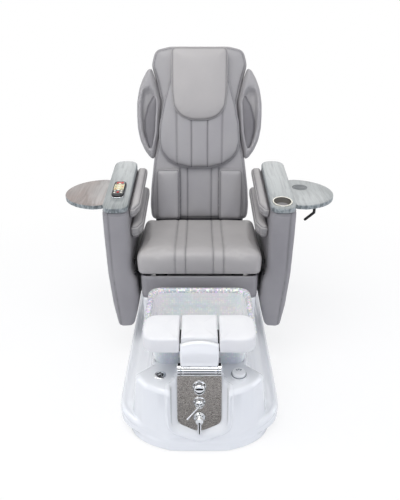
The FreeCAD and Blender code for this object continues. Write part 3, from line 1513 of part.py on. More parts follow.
# Recline actuator between the seat carriage and the backrest's lower lug
lug_place = Vector(0, depth(s.pivot_back), s.pivot_height - lug_drop)
stroke_direction = (lug_place - tube_anchor).normalize()
reach = (lug_place - tube_anchor).Length
tube_length = reach * 0.6
rod_travel = abs(lug_drop * math.sin(math.radians(s.recline_travel)))


def actuator_part(diameter, low, high):
    start = tube_anchor + stroke_direction * low
    return cylinder_shape(diameter, high - low, start, stroke_direction)


def recline_tube_shape():
    shape = actuator_part(34, -16, tube_length).cut(actuator_part(17, 2, tube_length + 5))
    for side in (-1, 1):
        near = 15 if side > 0 else -30
        stub = cylinder_shape(trunnion_diameter, 15, tube_anchor + Vector(near, 0, 0), (1, 0, 0))
        shape = shape.fuse(stub)
    return shape


def recline_rod_shape():
    eye = cylinder_shape(26, 18, lug_place - Vector(9, 0, 0), (1, 0, 0))
    shape = actuator_part(16, rod_travel + 12, reach - 10).fuse(eye)
    return shape.cut(cylinder_shape(14.6, 60, lug_place - Vector(30, 0, 0), (1, 0, 0)))


recline_tube = shaped("recline_tube", recline_tube_shape())
recline_rod = shaped("recline_rod", recline_rod_shape())


# Checks and files
doc.recompute()
for item in doc.Objects:
    if "Invalid" in item.State or "Error" in item.State:
        raise RuntimeError(f"{item.Name} failed: {item.State}")
for item in pieces:
    if item.Shape.isNull() or not item.Shape.isValid() or not item.Shape.Solids:
        raise RuntimeError(f"{item.Label} has no valid solid")

os.makedirs("parts", exist_ok=True)
for item in pieces:
    item.Shape.exportStep(f"parts/{item.Label}.step")
print(f"{len(pieces)} sub-parts written")
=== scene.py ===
import math
import bmesh
import bpy
import numpy as np
from mathutils import Matrix, Vector

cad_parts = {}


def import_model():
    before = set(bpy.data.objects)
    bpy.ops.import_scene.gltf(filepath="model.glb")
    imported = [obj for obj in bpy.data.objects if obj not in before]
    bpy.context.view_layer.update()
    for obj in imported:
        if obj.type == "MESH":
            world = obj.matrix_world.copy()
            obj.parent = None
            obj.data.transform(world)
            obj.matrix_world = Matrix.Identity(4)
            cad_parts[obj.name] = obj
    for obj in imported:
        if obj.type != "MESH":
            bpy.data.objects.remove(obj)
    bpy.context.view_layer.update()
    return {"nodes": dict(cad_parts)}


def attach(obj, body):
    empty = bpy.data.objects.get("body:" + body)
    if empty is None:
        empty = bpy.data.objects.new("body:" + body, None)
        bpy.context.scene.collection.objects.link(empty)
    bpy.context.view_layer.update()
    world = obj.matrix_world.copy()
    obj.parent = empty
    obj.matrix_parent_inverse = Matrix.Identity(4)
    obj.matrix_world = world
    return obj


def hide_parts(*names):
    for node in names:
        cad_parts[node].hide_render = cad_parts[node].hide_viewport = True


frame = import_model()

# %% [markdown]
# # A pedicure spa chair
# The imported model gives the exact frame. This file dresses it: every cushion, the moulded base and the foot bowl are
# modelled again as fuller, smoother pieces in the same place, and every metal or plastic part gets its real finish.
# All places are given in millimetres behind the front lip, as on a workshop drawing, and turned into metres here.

MM = 0.001
ORIGIN_BACK = 712.0  # front lip to the middle of the chair


def world(across, back, height):
    """Metres in the frame, from millimetres across, behind the front lip and above the floor."""
    return Vector((across * MM, (back - ORIGIN_BACK) * MM, height * MM))


def stand(across, back, height, turn=0.0, axis="X"):
    """A place in millimetres at a point of the chair, turned about one axis by an angle in radians."""
    turned_round = Matrix.Rotation(turn, 4, axis)
    return Matrix.Translation(world(across, back, height)) @ turned_round @ Matrix.Scale(MM, 4)


def shifted(place, x, y, z=0.0):
    return place @ Matrix.Translation((x, y, z))


def spun(place, degrees):
    return place @ Matrix.Rotation(math.radians(degrees), 4, "Z")


def linked(name, data):
    """An object for some data, linked into the scene."""
    made = bpy.data.objects.new(name, data)
    bpy.context.scene.collection.objects.link(made)
    return made


def placed(piece, body, finish, *nodes, fill=None):
    """Say which body a piece rides on and which nodes it stands in for; finish and fill are not used."""
    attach(piece, body)
    if nodes:
        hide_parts(*nodes)
    return piece


# %% [markdown]
# ## Materials
# Synthetic leather, gelcoat, chrome, hammered steel, wood laminate and a pearly bowl are what make this chair look
# real. Each is a small node tree on object coordinates, so it doesn't need unwrapping. Colours are written as the sRGB
# values a designer would pick and turned into linear light by one function.

# %% Colour and node helpers
def linear(hex_colour):
    channels = [int(hex_colour[i:i + 2], 16) / 255 for i in (0, 2, 4)]
    return tuple(c / 12.92 if c <= 0.04045 else ((c + 0.055) / 1.055) ** 2.4 for c in channels) + (1.0,)


def new_material(name, colour, roughness=0.5, metallic=0.0, **sockets):
    material = bpy.data.materials.new(name)
    material.use_nodes = True
    shader = material.node_tree.nodes["Principled BSDF"]
    shader.inputs["Base Color"].default_value = linear(colour)
    shader.inputs["Roughness"].default_value = roughness
    shader.inputs["Metallic"].default_value = metallic
    for key, value in sockets.items():
        shader.inputs[key.replace("_", " ")].default_value = value
    return material, material.node_tree, shader


def add(tree, kind, settings=(), **inputs):
    """One node: settings are its own properties, inputs are values or sockets to link."""
    node = tree.nodes.new(kind)
    for key, value in dict(settings).items():
        setattr(node, key, value)
    for key, value in inputs.items():
        numbered = key[0] == "i" and key[1:].isdigit()
        socket = node.inputs[int(key[1:]) if numbered else key.replace("_", " ")]
        if isinstance(value, bpy.types.NodeSocket):
            tree.links.new(value, socket)
        else:
            socket.default_value = value
    return node


def coordinates(tree, scale=(1, 1, 1), rotation=(0, 0, 0)):
    source = add(tree, "ShaderNodeTexCoord")
    return add(tree, "ShaderNodeMapping", Vector=source.outputs["Object"], Scale=scale, Rotation=rotation).outputs[0]


def ramp(tree, factor, stops):
    node = add(tree, "ShaderNodeValToRGB", Fac=factor)
    elements = node.color_ramp.elements
    while len(elements) < len(stops):
        elements.new(0.5)
    for element, (position, colour) in zip(elements, stops):
        element.position = position
        element.color = linear(colour) if isinstance(colour, str) else (colour, colour, colour, 1)
    return node.outputs[0]


def math_node(tree, operation, a, b=0.0):
    return add(tree, "ShaderNodeMath", {"operation": operation}, i0=a, i1=b).outputs[0]


def times(tree, a, b):
    return math_node(tree, "MULTIPLY", a, b)


def mix(tree, factor, a, b, blend="MIX"):
    node = add(tree, "ShaderNodeMix", {"data_type": "RGBA", "blend_type": blend})
    for socket, value in ((node.inputs[0], factor), (node.inputs[6], a), (node.inputs[7], b)):
        if isinstance(value, bpy.types.NodeSocket):
            tree.links.new(value, socket)
        else:
            socket.default_value = linear(value) if isinstance(value, str) else value
    return node.outputs[2]


def bump(tree, shader, height, strength, distance, normal=None):
    node = add(tree, "ShaderNodeBump", Height=height, Strength=strength, Distance=distance)
    if normal:
        tree.links.new(normal, node.inputs["Normal"])
    tree.links.new(node.outputs[0], shader.inputs["Normal"])
    return node.outputs[0]


def noise_of(tree, vector, scale, detail=4.0, rough=0.5):
    return add(tree, "ShaderNodeTexNoise", Vector=vector, Scale=scale, Detail=detail, Roughness=rough).outputs["Fac"]


# %% [markdown]
# ### Leather
# The hide is fine-grained and slightly satin. Small Voronoi cells make the pores, a slow noise varies the tone, and two
# attributes painted on each cushion, the distance to its nearest seam and the length along it, draw the dark seam line,
# a band of painted shade along it and the single stitches beside it at their real size.

# %% Leather
def leather(name, colour, dark, light, rough=0.46):
    material, tree, shader = new_material(name, colour, rough, Specular_IOR_Level=0.42)
    place = coordinates(tree)
    tone = noise_of(tree, place, 5.0, 3.0)
    base = ramp(tree, tone, ((0.3, dark), (0.7, light)))
    cells = add(tree, "ShaderNodeTexVoronoi", {"feature": "DISTANCE_TO_EDGE"}, Vector=place, Scale=620.0).outputs[0]
    pores = ramp(tree, cells, ((0.0, 0.35), (0.16, 1.0)))
    base = mix(tree, 0.10, base, pores, "MULTIPLY")
    distance = add(tree, "ShaderNodeAttribute", {"attribute_name": "seam_distance"}).outputs["Fac"]
    along = add(tree, "ShaderNodeAttribute", {"attribute_name": "seam_along"}).outputs["Fac"]
    away = math_node(tree, "ABSOLUTE", distance)
    line = ramp(tree, times(tree, away, 100.0), ((0.0, 0.0), (0.05, 0.0), (0.14, 1.0)))
    # Painted shade: the leather is darkened to 74% at each seam and brightens back over about 11 mm, where the seam's
    # groove lies.
    shade = ramp(tree, times(tree, away, 100.0), ((0.0, 0.74), (0.3, 0.9), (1.1, 1.0)))
    base = mix(tree, 1.0, base, shade, "MULTIPLY")
    base = mix(tree, line, "55545a", base)
    # Stitches: 3.3 mm long, one every 4.6 mm, 4.8 mm from the seam
    beside = math_node(tree, "LESS_THAN", math_node(tree, "ABSOLUTE", math_node(tree, "SUBTRACT", away, 0.0048)),
                       0.0006)
    dash = math_node(tree, "LESS_THAN", math_node(tree, "FRACT", times(tree, along, 1 / 0.0046)), 0.72)
    stitch = times(tree, beside, dash)
    base = mix(tree, times(tree, stitch, 0.55), base, "6d6c70")
    tree.links.new(base, shader.inputs["Base Color"])
    wear = ramp(tree, noise_of(tree, place, 24.0, 5.0), ((0.3, rough - 0.05), (0.75, rough + 0.07)))
    tree.links.new(wear, shader.inputs["Roughness"])
    grain = bump(tree, shader, pores, 0.22, 0.0006)
    dips = math_node(tree, "ADD", times(tree, stitch, 0.8), line)
    dips = math_node(tree, "ADD", dips, times(tree, noise_of(tree, place, 60.0, 6.0), 0.25))
    bump(tree, shader, dips, 0.35, 0.0012, grain)
    return material


LEATHER = leather("synthetic_leather_grey", "a5a3a5", "a19fa2", "aaa8a9")
# Painted light: the same grey leather made lighter, used on the seat, the headrest and the arm pads
LEATHER_PAINTED_LIT = leather("synthetic_leather_painted_lit", "b1aeae", "aeabab", "b6b3b2")
# Painted shade: the same grey leather made darker, used on the arm shells, the skirt and the flap under the backrest
LEATHER_PAINTED_SHADED = leather("synthetic_leather_painted_shaded", "949295", "8f8d91", "9a989b")
# Painted shade: the same grey leather darker still, used on the wing pads that face inwards
LEATHER_PAINTED_DEEP_SHADE = leather("synthetic_leather_painted_deep_shade", "7c7a7d", "777579", "828083")
print("leather materials", LEATHER.name, LEATHER_PAINTED_LIT.name)

# %% [markdown]
# ### Gelcoat, bowl, metals, wood and plastics
# The base is glass-fibre with a polished white gelcoat: almost no texture, only a faint orange-peel and a clear coat.
# The bowl is moulded from a pearly film with a grid of tiny lenses, whose rainbow glints are painted into its colour.
# Chrome is nearly a mirror. The tap plate is hammered steel. The arm caps and trays are a grey wood laminate with long
# streaks.

# %% Gelcoat and plastics
def gelcoat(name, colour, rough=0.16, coat=0.6):
    material, tree, shader = new_material(name, colour, rough, Coat_Weight=coat, Coat_Roughness=0.05)
    place = coordinates(tree)
    tone = noise_of(tree, place, 3.0, 2.0)
    tree.links.new(mix(tree, times(tree, tone, 0.05), colour, "dfe4ec"), shader.inputs["Base Color"])
    scuffs = ramp(tree, noise_of(tree, place, 40.0, 8.0, 0.7), ((0.45, rough), (0.8, rough + 0.06)))
    tree.links.new(scuffs, shader.inputs["Roughness"])
    bump(tree, shader, noise_of(tree, place, 160.0, 2.0), 0.025, 0.0008)
    return material


def moulded(name, colour, dark, rough=0.5, grain=900.0, depth=0.12):
    """Matt or satin moulded plastic or paint with a spark-eroded texture."""
    material, tree, shader = new_material(name, colour, rough)
    place = coordinates(tree)
    tone = noise_of(tree, place, 14.0, 4.0)
    tree.links.new(ramp(tree, tone, ((0.3, dark), (0.7, colour))), shader.inputs["Base Color"])
    fine = noise_of(tree, place, grain, 2.0)
    tree.links.new(ramp(tree, fine, ((0.3, rough - 0.06), (0.7, rough + 0.06))), shader.inputs["Roughness"])
    bump(tree, shader, fine, depth, 0.0004)
    return material


GELCOAT = gelcoat("white_gelcoat", "e9ebee")
PAD_WHITE = moulded("white_soft_vinyl", "e9e9ea", "e5e5e7", 0.52, 700.0, 0.10)
GLOSS_WHITE = gelcoat("white_gloss_plastic", "f7f8fa", 0.12, 0.9)
BLACK_PAINT = moulded("black_powder_coat", "1b1b1d", "131314", 0.48, 500.0, 0.25)
BLACK_GLOSS = moulded("black_gloss_plastic", "131316", "0d0d10", 0.16, 300.0, 0.03)
SHELL_BLACK = moulded("dark_back_shell", "5f6064", "57585c", 0.5, 420.0, 0.2)
RUBBER = moulded("black_rubber", "1d1d1e", "161617", 0.8, 260.0, 0.3)
PUMP_GREY = moulded("dark_pump_plastic", "34363a", "2b2d30", 0.55, 500.0, 0.2)
PIPE = moulded("supply_pipe_plastic", "cfcec8", "c4c3bd", 0.45, 300.0, 0.1)
KEY_RED = moulded("red_key", "c4281d", "a81f16", 0.42, 900.0, 0.05)
KEY_LIGHT = moulded("light_keys", "e9e6d9", "ddd9ca", 0.42, 900.0, 0.05)
CREAM = moulded("cream_panel", "d8d0a4", "cbc296", 0.4, 900.0, 0.03)
LABEL_GREY = moulded("grey_print", "8b9096", "80858b", 0.5, 900.0, 0.03)


# %% Metals
def metal(name, colour, rough, smear=0.06, bumpiness=0.02, scale=(1, 1, 1)):
    material, tree, shader = new_material(name, colour, rough, 1.0)
    place = coordinates(tree, scale)
    smudge = noise_of(tree, place, 30.0, 6.0, 0.65)
    tree.links.new(ramp(tree, smudge, ((0.35, rough), (0.8, rough + smear))), shader.inputs["Roughness"])
    tree.links.new(mix(tree, times(tree, smudge, 0.25), colour, "8d8f92"), shader.inputs["Base Color"])
    bump(tree, shader, smudge, bumpiness, 0.0005)
    return material


CHROME = metal("polished_chrome", "e2e4e6", 0.05)
CUP_STEEL = metal("polished_cup_steel", "a9a79e", 0.12, 0.08, 0.03)
ZINC = metal("zinc_plated_steel", "b3b6b8", 0.32, 0.15, 0.05)


def hammered_steel():
    """Brushed along its length, over small hammered facets that scatter the light."""
    material, tree, shader = new_material("hammered_steel", "a49c93", 0.3, 1.0)
    place = coordinates(tree)
    dents = add(tree, "ShaderNodeTexVoronoi", {"feature": "SMOOTH_F1"}, Vector=place, Scale=330.0).outputs[0]
    fine = noise_of(tree, place, 420.0, 2.0)
    streak = noise_of(tree, coordinates(tree, (260, 6, 6)), 4.0, 5.0)
    base = ramp(tree, fine, ((0.34, "5f5b58"), (0.5, "b3aca5"), (0.66, "fffbf5")))
    base = mix(tree, 0.25, base, ramp(tree, streak, ((0.3, "8f8983"), (0.7, "c9c2ba"))))
    tree.links.new(base, shader.inputs["Base Color"])
    tree.links.new(ramp(tree, fine, ((0.2, 0.22), (0.8, 0.42))), shader.inputs["Roughness"])
    facets = bump(tree, shader, dents, 0.6, 0.0016)
    bump(tree, shader, fine, 0.25, 0.0004, facets)
    return material


HAMMERED = hammered_steel()
print("metals", CHROME.name, HAMMERED.name)


# %% Wood laminate
def laminate(name, dark, middle, light, rotation, warm=None):
    """Grey wood print: long streaks from stretched noise, finer pores on top, sealed with a satin lacquer."""
    material, tree, shader = new_material(name, middle, 0.34, Coat_Weight=0.35, Coat_Roughness=0.18)
    place = coordinates(tree, (44, 2.6, 20), rotation)
    bend = add(tree, "ShaderNodeTexNoise", Vector=coordinates(tree, (3, 1.4, 2), rotation), Scale=2.0, Detail=2.0)
    wavy = add(tree, "ShaderNodeVectorMath", {"operation": "SCALE"}, i0=bend.outputs["Color"])
    wavy.inputs["Scale"].default_value = 2.2
    moved = add(tree, "ShaderNodeVectorMath", {"operation": "ADD"}, i0=place, i1=wavy.outputs[0]).outputs[0]
    streaks = noise_of(tree, moved, 1.6, 8.0, 0.62)
    base = ramp(tree, streaks, ((0.28, dark), (0.44, middle), (0.56, light), (0.68, middle)))
    if warm:
        patch = noise_of(tree, coordinates(tree, (5, 1.2, 3), rotation), 2.2, 3.0)
        base = mix(tree, ramp(tree, patch, ((0.35, 0.35), (0.6, 0.95))), base, ramp(tree, streaks, warm))
    pores = noise_of(tree, coordinates(tree, (420, 22, 200), rotation), 3.0, 3.0)
    base = mix(tree, ramp(tree, pores, ((0.55, 0.0), (0.7, 0.35))), base, dark)
    tree.links.new(base, shader.inputs["Base Color"])
    tree.links.new(ramp(tree, pores, ((0.4, 0.3), (0.8, 0.42))), shader.inputs["Roughness"])
    bump(tree, shader, pores, 0.12, 0.0005)
    return material


WOOD = laminate("grey_wood_laminate", "6f7373", "868b8b", "969b9b", (0, 0, 0.05))
WOOD_WARM = laminate("brown_wood_laminate", "6a6766", "858382", "959494", (0, 0, 0.45),
                     ((0.3, "62554f"), (0.5, "806f68"), (0.66, "93857f")))
WOOD_EDGE = laminate("laminate_edge_band", "4d5356", "727a7d", "a0a7a9", (0, 0, 0.05))


# %% Pearly bowl
def pearl(name, body, cell, glint_threshold, glint_share):
    """Pearl film over a grid of tiny lenses, each with its own tint and a domed bump; a share of them carry painted
    glints in a brightened tint.
    """
    material, tree, shader = new_material(name, "e9ecf0", 0.22, Coat_Weight=0.8, Coat_Roughness=0.04)
    place = coordinates(tree)
    lens = add(tree, "ShaderNodeTexVoronoi", {"feature": "F1"}, Vector=place, Scale=1 / cell, Randomness=0.12)
    tint = add(tree, "ShaderNodeHueSaturation", Color=lens.outputs["Color"], Saturation=0.42, Value=1.5).outputs[0]
    drift = noise_of(tree, place, 7.0, 2.0)
    rainbow = ramp(tree, drift, ((0.3, "cdd8f4"), (0.42, "d7f1ee"), (0.52, "f3f2ec"), (0.62, "f3dff0"),
                                 (0.74, "cfd3f6")))
    base = mix(tree, 0.35, body, rainbow)
    # Painted glints: a share of the lenses, picked by their random colour, is painted in a brightened tint of its own.
    painted_glint = math_node(tree, "GREATER_THAN",
                      add(tree, "ShaderNodeSeparateColor", Color=lens.outputs["Color"]).outputs[0], glint_threshold)
    base = mix(tree, times(tree, painted_glint, glint_share), base, tint)
    rim = ramp(tree, lens.outputs["Distance"], ((0.30, 0.0), (0.5, 1.0)))
    base = mix(tree, times(tree, rim, 0.22), base, "aab2bd")
    tree.links.new(base, shader.inputs["Base Color"])
    tree.links.new(ramp(tree, lens.outputs["Distance"], ((0.0, 0.12), (0.5, 0.34))), shader.inputs["Roughness"])
    bump(tree, shader, lens.outputs["Distance"], 0.25, 0.0012)
    return material


# Both films carry painted glints, the rim far more of them than the walls.
PEARL = pearl("pearl_bowl_film", "fafbfb", 0.0085, 0.55, 0.16)
PEARL_RIM = pearl("sparkling_bowl_rim", "a9b3ba", 0.0070, 0.40, 0.62)
print("materials made:", len(bpy.data.materials))

# %% [markdown]
# ## How a stuffed piece is made
# A real cushion starts as a flat pattern, is sewn with drawn-in sides and is filled with foam until it swells between
# its seams. The same order is used here: an outline with rounded corners, side walls that pull in, a crowned face, then
# a voxel remesh and a short cloth simulation with air pressure, with the seam lines pinned. The seams are pressed in
# after that, together with small gathers, because a remesh would rub them out.

# %% Outlines
def rounded(corners, count=260):
    """A closed outline from (x, y, radius) corners in millimetres, as evenly spaced points."""
    corners = [tuple(map(float, corner)) for corner in corners]
    points = []
    for index, (x, y, radius) in enumerate(corners):
        here = np.array((x, y))
        before = np.array(corners[index - 1][:2]) - here
        after = np.array(corners[(index + 1) % len(corners)][:2]) - here
        size_before, size_after = np.linalg.norm(before), np.linalg.norm(after)
        before, after = before / size_before, after / size_after
        half = math.acos(float(np.clip(before @ after, -1, 1))) / 2
        reach = min(radius / max(math.tan(half), 1e-6), 0.49 * size_before, 0.49 * size_after)
        start, end = here + before * reach, here + after * reach
        for t in np.linspace(0, 1, 9):
            points.append((1 - t) ** 2 * start + 2 * t * (1 - t) * here + t * t * end)
    points = np.array(points + points[:1])
    steps = np.concatenate(([0], np.cumsum(np.linalg.norm(np.diff(points, axis=0), axis=1))))
    places = np.linspace(0, steps[-1], count, endpoint=False)
    return np.stack([np.interp(places, steps, points[:, axis]) for axis in (0, 1)], axis=1)


def both_sides(right):
    """The right half of an outline and its mirror image, as one closed list of corners."""
    return list(right) + [(-x, y, radius) for x, y, radius in reversed(right)]


def shrunk(outline, distance):
    """The outline moved inwards along its normals."""
    along = np.roll(outline, -1, axis=0) - np.roll(outline, 1, axis=0)
    normals = np.stack([along[:, 1], -along[:, 0]], axis=1)
    normals /= np.linalg.norm(normals, axis=1)[:, None]
    area = np.sum(outline[:, 0] * np.roll(outline[:, 1], -1) - np.roll(outline[:, 0], -1) * outline[:, 1])
    return outline - normals * distance * (1 if area > 0 else -1)


def distance_to(points, line, closed=True):
    """Distance of each point to a polyline, and the length along the polyline of its nearest place."""
    line = np.asarray(line, float)
    ends = np.roll(line, -1, axis=0) if closed else line[1:]
    starts = line if closed else line[:-1]
    lengths = np.linalg.norm(ends - starts, axis=1)
    before = np.concatenate(([0], np.cumsum(lengths)))[:-1]
    best = np.full(len(points), 1e9)
    along = np.zeros(len(points))
    for a, b, size, offset in zip(starts, ends, lengths, before):
        if size < 1e-9:
            continue
        t = np.clip(((points - a) @ (b - a)) / size ** 2, 0, 1)
        gap = np.linalg.norm(points - a - t[:, None] * (b - a), axis=1)
        nearer = gap < best
        best[nearer] = gap[nearer]
        along[nearer] = offset + t[nearer] * size
    return best, along


def inside(points, outline):
    """Whether each point lies inside a closed outline."""
    x, y = points[:, 0], points[:, 1]
    result = np.zeros(len(points), bool)
    for (x0, y0), (x1, y1) in zip(outline, np.roll(outline, -1, axis=0)):
        crosses = (y0 > y) != (y1 > y)
        with np.errstate(divide="ignore", invalid="ignore"):
            result ^= crosses & (x < (x1 - x0) * (y - y0) / (y1 - y0 + 1e-12) + x0)
    return result


# %% Meshes from rings
def lifted(line, level):
    """A plan line with one height, or a height for each of its points."""
    return np.column_stack([line, np.broadcast_to(level, len(line))])


def carried(place, points):
    """Points carried by a matrix."""
    return (np.column_stack([points, np.ones(len(points))]) @ np.array(place).T)[:, :3]


def shaded(data):
    """Smooth shading on every polygon."""
    data.polygons.foreach_set("use_smooth", [True] * len(data.polygons))


def mesh_from(name, mesh):
    """The finished bmesh as mesh data."""
    data = bpy.data.meshes.new(name)
    mesh.to_mesh(data)
    mesh.free()
    return data


def skin(name, rings, material, caps=(True, True), centres=(None, None)):
    """A mesh through closed rings of equal point counts (metres); each end may be closed by a fan to its centre."""
    mesh = bmesh.new()
    rows = [[mesh.verts.new(Vector(point)) for point in ring] for ring in rings]
    count = len(rows[0])
    for lower, upper in zip(rows, rows[1:]):
        for i in range(count):
            j = (i + 1) % count
            mesh.faces.new((lower[i], lower[j], upper[j], upper[i]))
    for capped, row, centre in zip(caps, (rows[0], rows[-1]), centres):
        if capped:
            middle = mesh.verts.new(centre if centre is not None else sum((v.co for v in row), Vector()) / count)
            for i in range(count):
                mesh.faces.new((row[i], row[(i + 1) % count], middle))
    bmesh.ops.recalc_face_normals(mesh, faces=mesh.faces)
    data = mesh_from(name, mesh)
    shaded(data)
    if material:
        data.materials.append(material)
    return linked(name, data)


def coordinates_of(piece, what="co"):
    """The vertices' places, or with "normal" their normals, as rows."""
    values = np.zeros(len(piece.data.vertices) * 3)
    piece.data.vertices.foreach_get(what, values)
    return values.reshape(-1, 3)


def move_to(piece, values):
    piece.data.vertices.foreach_set("co", np.asarray(values, float).ravel())
    piece.data.update()


def mirrored_piece(piece, name):
    """A copy on the other side of the chair."""
    twin = piece.copy()
    twin.data = piece.data.copy()
    twin.name = twin.data.name = name
    bpy.context.scene.collection.objects.link(twin)
    values = coordinates_of(twin)
    values[:, 0] *= -1
    move_to(twin, values)
    twin.data.flip_normals()
    return twin


def store_seams(piece, distance, along):
    """Keep each vertex's distance to its nearest seam and the length along it, in metres, for the leather."""
    for attribute, values in (("seam_distance", distance), ("seam_along", along)):
        layer = piece.data.attributes.new(attribute, "FLOAT", "POINT")
        layer.data.foreach_set("value", values.astype(np.float32))


def apply_modifiers(piece):
    """Bake the modifiers into the piece's own mesh."""
    graph = bpy.context.evaluated_depsgraph_get()
    baked = bpy.data.meshes.new_from_object(piece.evaluated_get(graph))
    old = piece.data
    piece.modifiers.clear()
    piece.data = baked
    bpy.data.meshes.remove(old)
    baked.name = piece.name
    return piece


def modified(piece, kind, **settings):
    """Bake one modifier with these settings."""
    modifier = piece.modifiers.new(kind.lower(), kind)
    for key, value in settings.items():
        setattr(modifier, key, value)
    return apply_modifiers(piece)


def relaxed(piece, rounds):
    return modified(piece, "SMOOTH", iterations=rounds, factor=0.5)


# %% Swelling by cloth simulation
SEAM_HOLD = 0.55  # how firmly the cloth is held along a seam; 1 holds it still


def swollen(piece, pinned, pressure, cap):
    """Blow the cover up a little with the pinned vertices held, and cap how far each point moves."""
    start = coordinates_of(piece)
    group = piece.vertex_groups.new(name="held")
    for weight in (1.0, SEAM_HOLD):
        chosen = np.nonzero(np.isclose(pinned, weight))[0]
        group.add([int(i) for i in chosen], weight, "REPLACE")
    cloth = piece.modifiers.new("swell", "CLOTH")
    cloth.settings.quality = 4
    cloth.settings.mass = 0.4
    cloth.settings.tension_stiffness = 18
    cloth.settings.compression_stiffness = 18
    cloth.settings.bending_stiffness = 2.5
    cloth.settings.use_pressure = True
    cloth.settings.uniform_pressure_force = pressure
    cloth.settings.vertex_group_mass = "held"
    cloth.settings.effector_weights.gravity = 0
    cloth.collision_settings.use_collision = False
    scene = bpy.context.scene
    for number in range(1, 21):
        scene.frame_set(number)
    apply_modifiers(piece)
    scene.frame_set(1)
    piece.vertex_groups.clear()
    end = coordinates_of(piece)
    moved = end - start
    size = np.linalg.norm(moved, axis=1)
    scale = np.where(size > cap, cap / np.maximum(size, 1e-9), 1.0)
    move_to(piece, start + moved * scale[:, None])
    return piece


def gathers(points, size):
    """Slow uneven waves, from a few sines in different directions, the same in every run."""
    total = np.zeros(len(points))
    for x, y, z, phase, weight in ((71, 23, 17, 0.4, 1.0), (-31, 97, 41, 1.9, 0.8), (53, -67, 88, 3.1, 0.6),
                                   (140, 121, -60, 0.9, 0.45), (-160, 90, 150, 2.3, 0.35)):
        total += weight * np.sin(points @ np.array((x, y, z)) / size + phase)
    return total / 3.2


# %% The stuffed piece itself
def stuffed(name, body, material, place, corners, low, thickness, crown, roll, nodes=(), draw=4.0, seams=(),
            edge=None, face=None, voxel=6.5, pressure=3.0, cap=5.0, fill=0.7, groove=2.2, puckers=0.5, mirror=()):
    """One padded piece. Lengths are in millimetres in the piece's own plan, and place carries them into the chair.

    seams are polylines in the plan, edge is how far in from the outline the border seam runs, and face(x, y, d) adds
    height to the crowned face, d being the distance from the outline. mirror is a name for the piece's twin on the
    other side and the nodes that the twin stands in for.
    """
    outline = rounded(corners)
    middle = outline.mean(axis=0)

    def height(points):
        distance, _ = distance_to(points, outline)
        t = np.clip(distance / roll, 0, 1)
        top = low + thickness - crown * (1 - np.sqrt(1 - (1 - t) ** 2))
        return top + (face(points[:, 0], points[:, 1], distance) if face else 0)

    rings = []
    for share, inset in ((0.0, draw), (0.12, 0.5 * draw), (0.45, 0.0)):
        rings.append(lifted(shrunk(outline, inset), low + share * (thickness - crown)))
    for share in (0.0, 0.015, 0.05, 0.1, 0.17, 0.26, 0.37, 0.5, 0.64, 0.78, 0.9):
        line = outline + (middle - outline) * share
        rings.append(lifted(line, height(line)))
    ends = carried(place, np.array([[*middle, low], [*middle, height(middle[None, :])[0]]]))
    piece = skin(name, [carried(place, ring) for ring in rings], None, centres=ends)
    modified(piece, "REMESH", mode="VOXEL", voxel_size=voxel * MM, use_smooth_shade=True)
    relaxed(piece, 2)
    back = Matrix(place).inverted()
    lines = [(np.asarray(seam, float), False) for seam in seams]
    if edge is not None:
        lines.append((shrunk(outline, edge), True))

    def seam_field(points):
        local = carried(back, points)
        best = np.full(len(points), 1e3)
        along = np.zeros(len(points))
        for line, closed in lines:
            distance, place_along = distance_to(local[:, :2], line, closed)
            if closed:
                distance = np.hypot(distance, np.maximum(0, low + 0.35 * thickness - local[:, 2]))
            nearer = distance < best
            best[nearer], along[nearer] = distance[nearer], place_along[nearer]
        return best, along, local

    best, _, local = seam_field(coordinates_of(piece))
    pinned = np.zeros(len(best))
    pinned[local[:, 2] < low + 0.3 * thickness] = 1.0
    pinned[best < voxel * 0.9] = SEAM_HOLD
    swollen(piece, pinned, pressure, cap * MM)
    modified(piece, "SUBSURF", levels=1, render_levels=1)
    values = coordinates_of(piece)
    best, along, local = seam_field(values)
    press = groove * np.exp(-(best / 2.6) ** 2) + 0.45 * groove * np.exp(-(best / 9.0) ** 2)
    facing = np.clip((local[:, 2] - low) / (0.3 * thickness), 0, 1)
    waves = gathers(values, 1.0) * puckers * (0.35 + np.exp(-best / 14.0)) * facing
    move_to(piece, values - coordinates_of(piece, "normal") * ((press * facing - waves) * MM)[:, None])
    store_seams(piece, best * MM, along * MM)
    piece.data.materials.append(material)
    shaded(piece.data)
    twin = mirrored_piece(piece, mirror[0]) if mirror else None
    placed(piece, body, "upholstery", *nodes, fill=fill)
    if twin:
        placed(twin, body, "upholstery", *mirror[1:], fill=fill)
    print(name, "polygons", len(piece.data.polygons))


# %% [markdown]
# ## The backrest
# The backrest has its own frame: across, up along its lean, and out of its face. On the real chair a broad main cushion
# carries a bib that hangs from the head, a headrest pillow on top of the bib, two lumbar pads, and a wing on each side
# that squeezes the shoulders with an inner D-shaped pad.

# %% The backrest's frame and its cushions
BACK_LEAN = 13.5
BACK = stand(0, 1043, 600, math.radians(90 - BACK_LEAN))
BACK_SIDE = ((262, -18, 30), (268, 60, 60), (262, 160, 80), (243, 305, 80), (212, 442, 80), (200, 600, 60),
             (226, 711, 50), (248, 786, 56), (228, 862, 46), (150, 878, 60))
BIB_SIDE = ((60, 263, 40), (125, 279, 50), (171, 306, 50), (203, 348, 50), (215, 399, 60), (210, 490, 80),
            (188, 594, 80), (152, 718, 60), (140, 850, 30))
PILLOW_SIDE = ((34, 506, 120), (98, 524, 90), (136, 576, 70), (144, 650, 70), (144, 868, 30))
WING_OUTSIDE = ((262, 316, 24), (289, 352, 40), (313, 405, 50), (325, 465, 70), (328, 530, 80), (326, 600, 80),
                (313, 670, 80), (292, 722, 60), (271, 758, 30), (254, 772, 10))


def smooth_step(low, high, value):
    t = np.clip((value - low) / (high - low), 0, 1)
    return t * t * (3 - 2 * t)


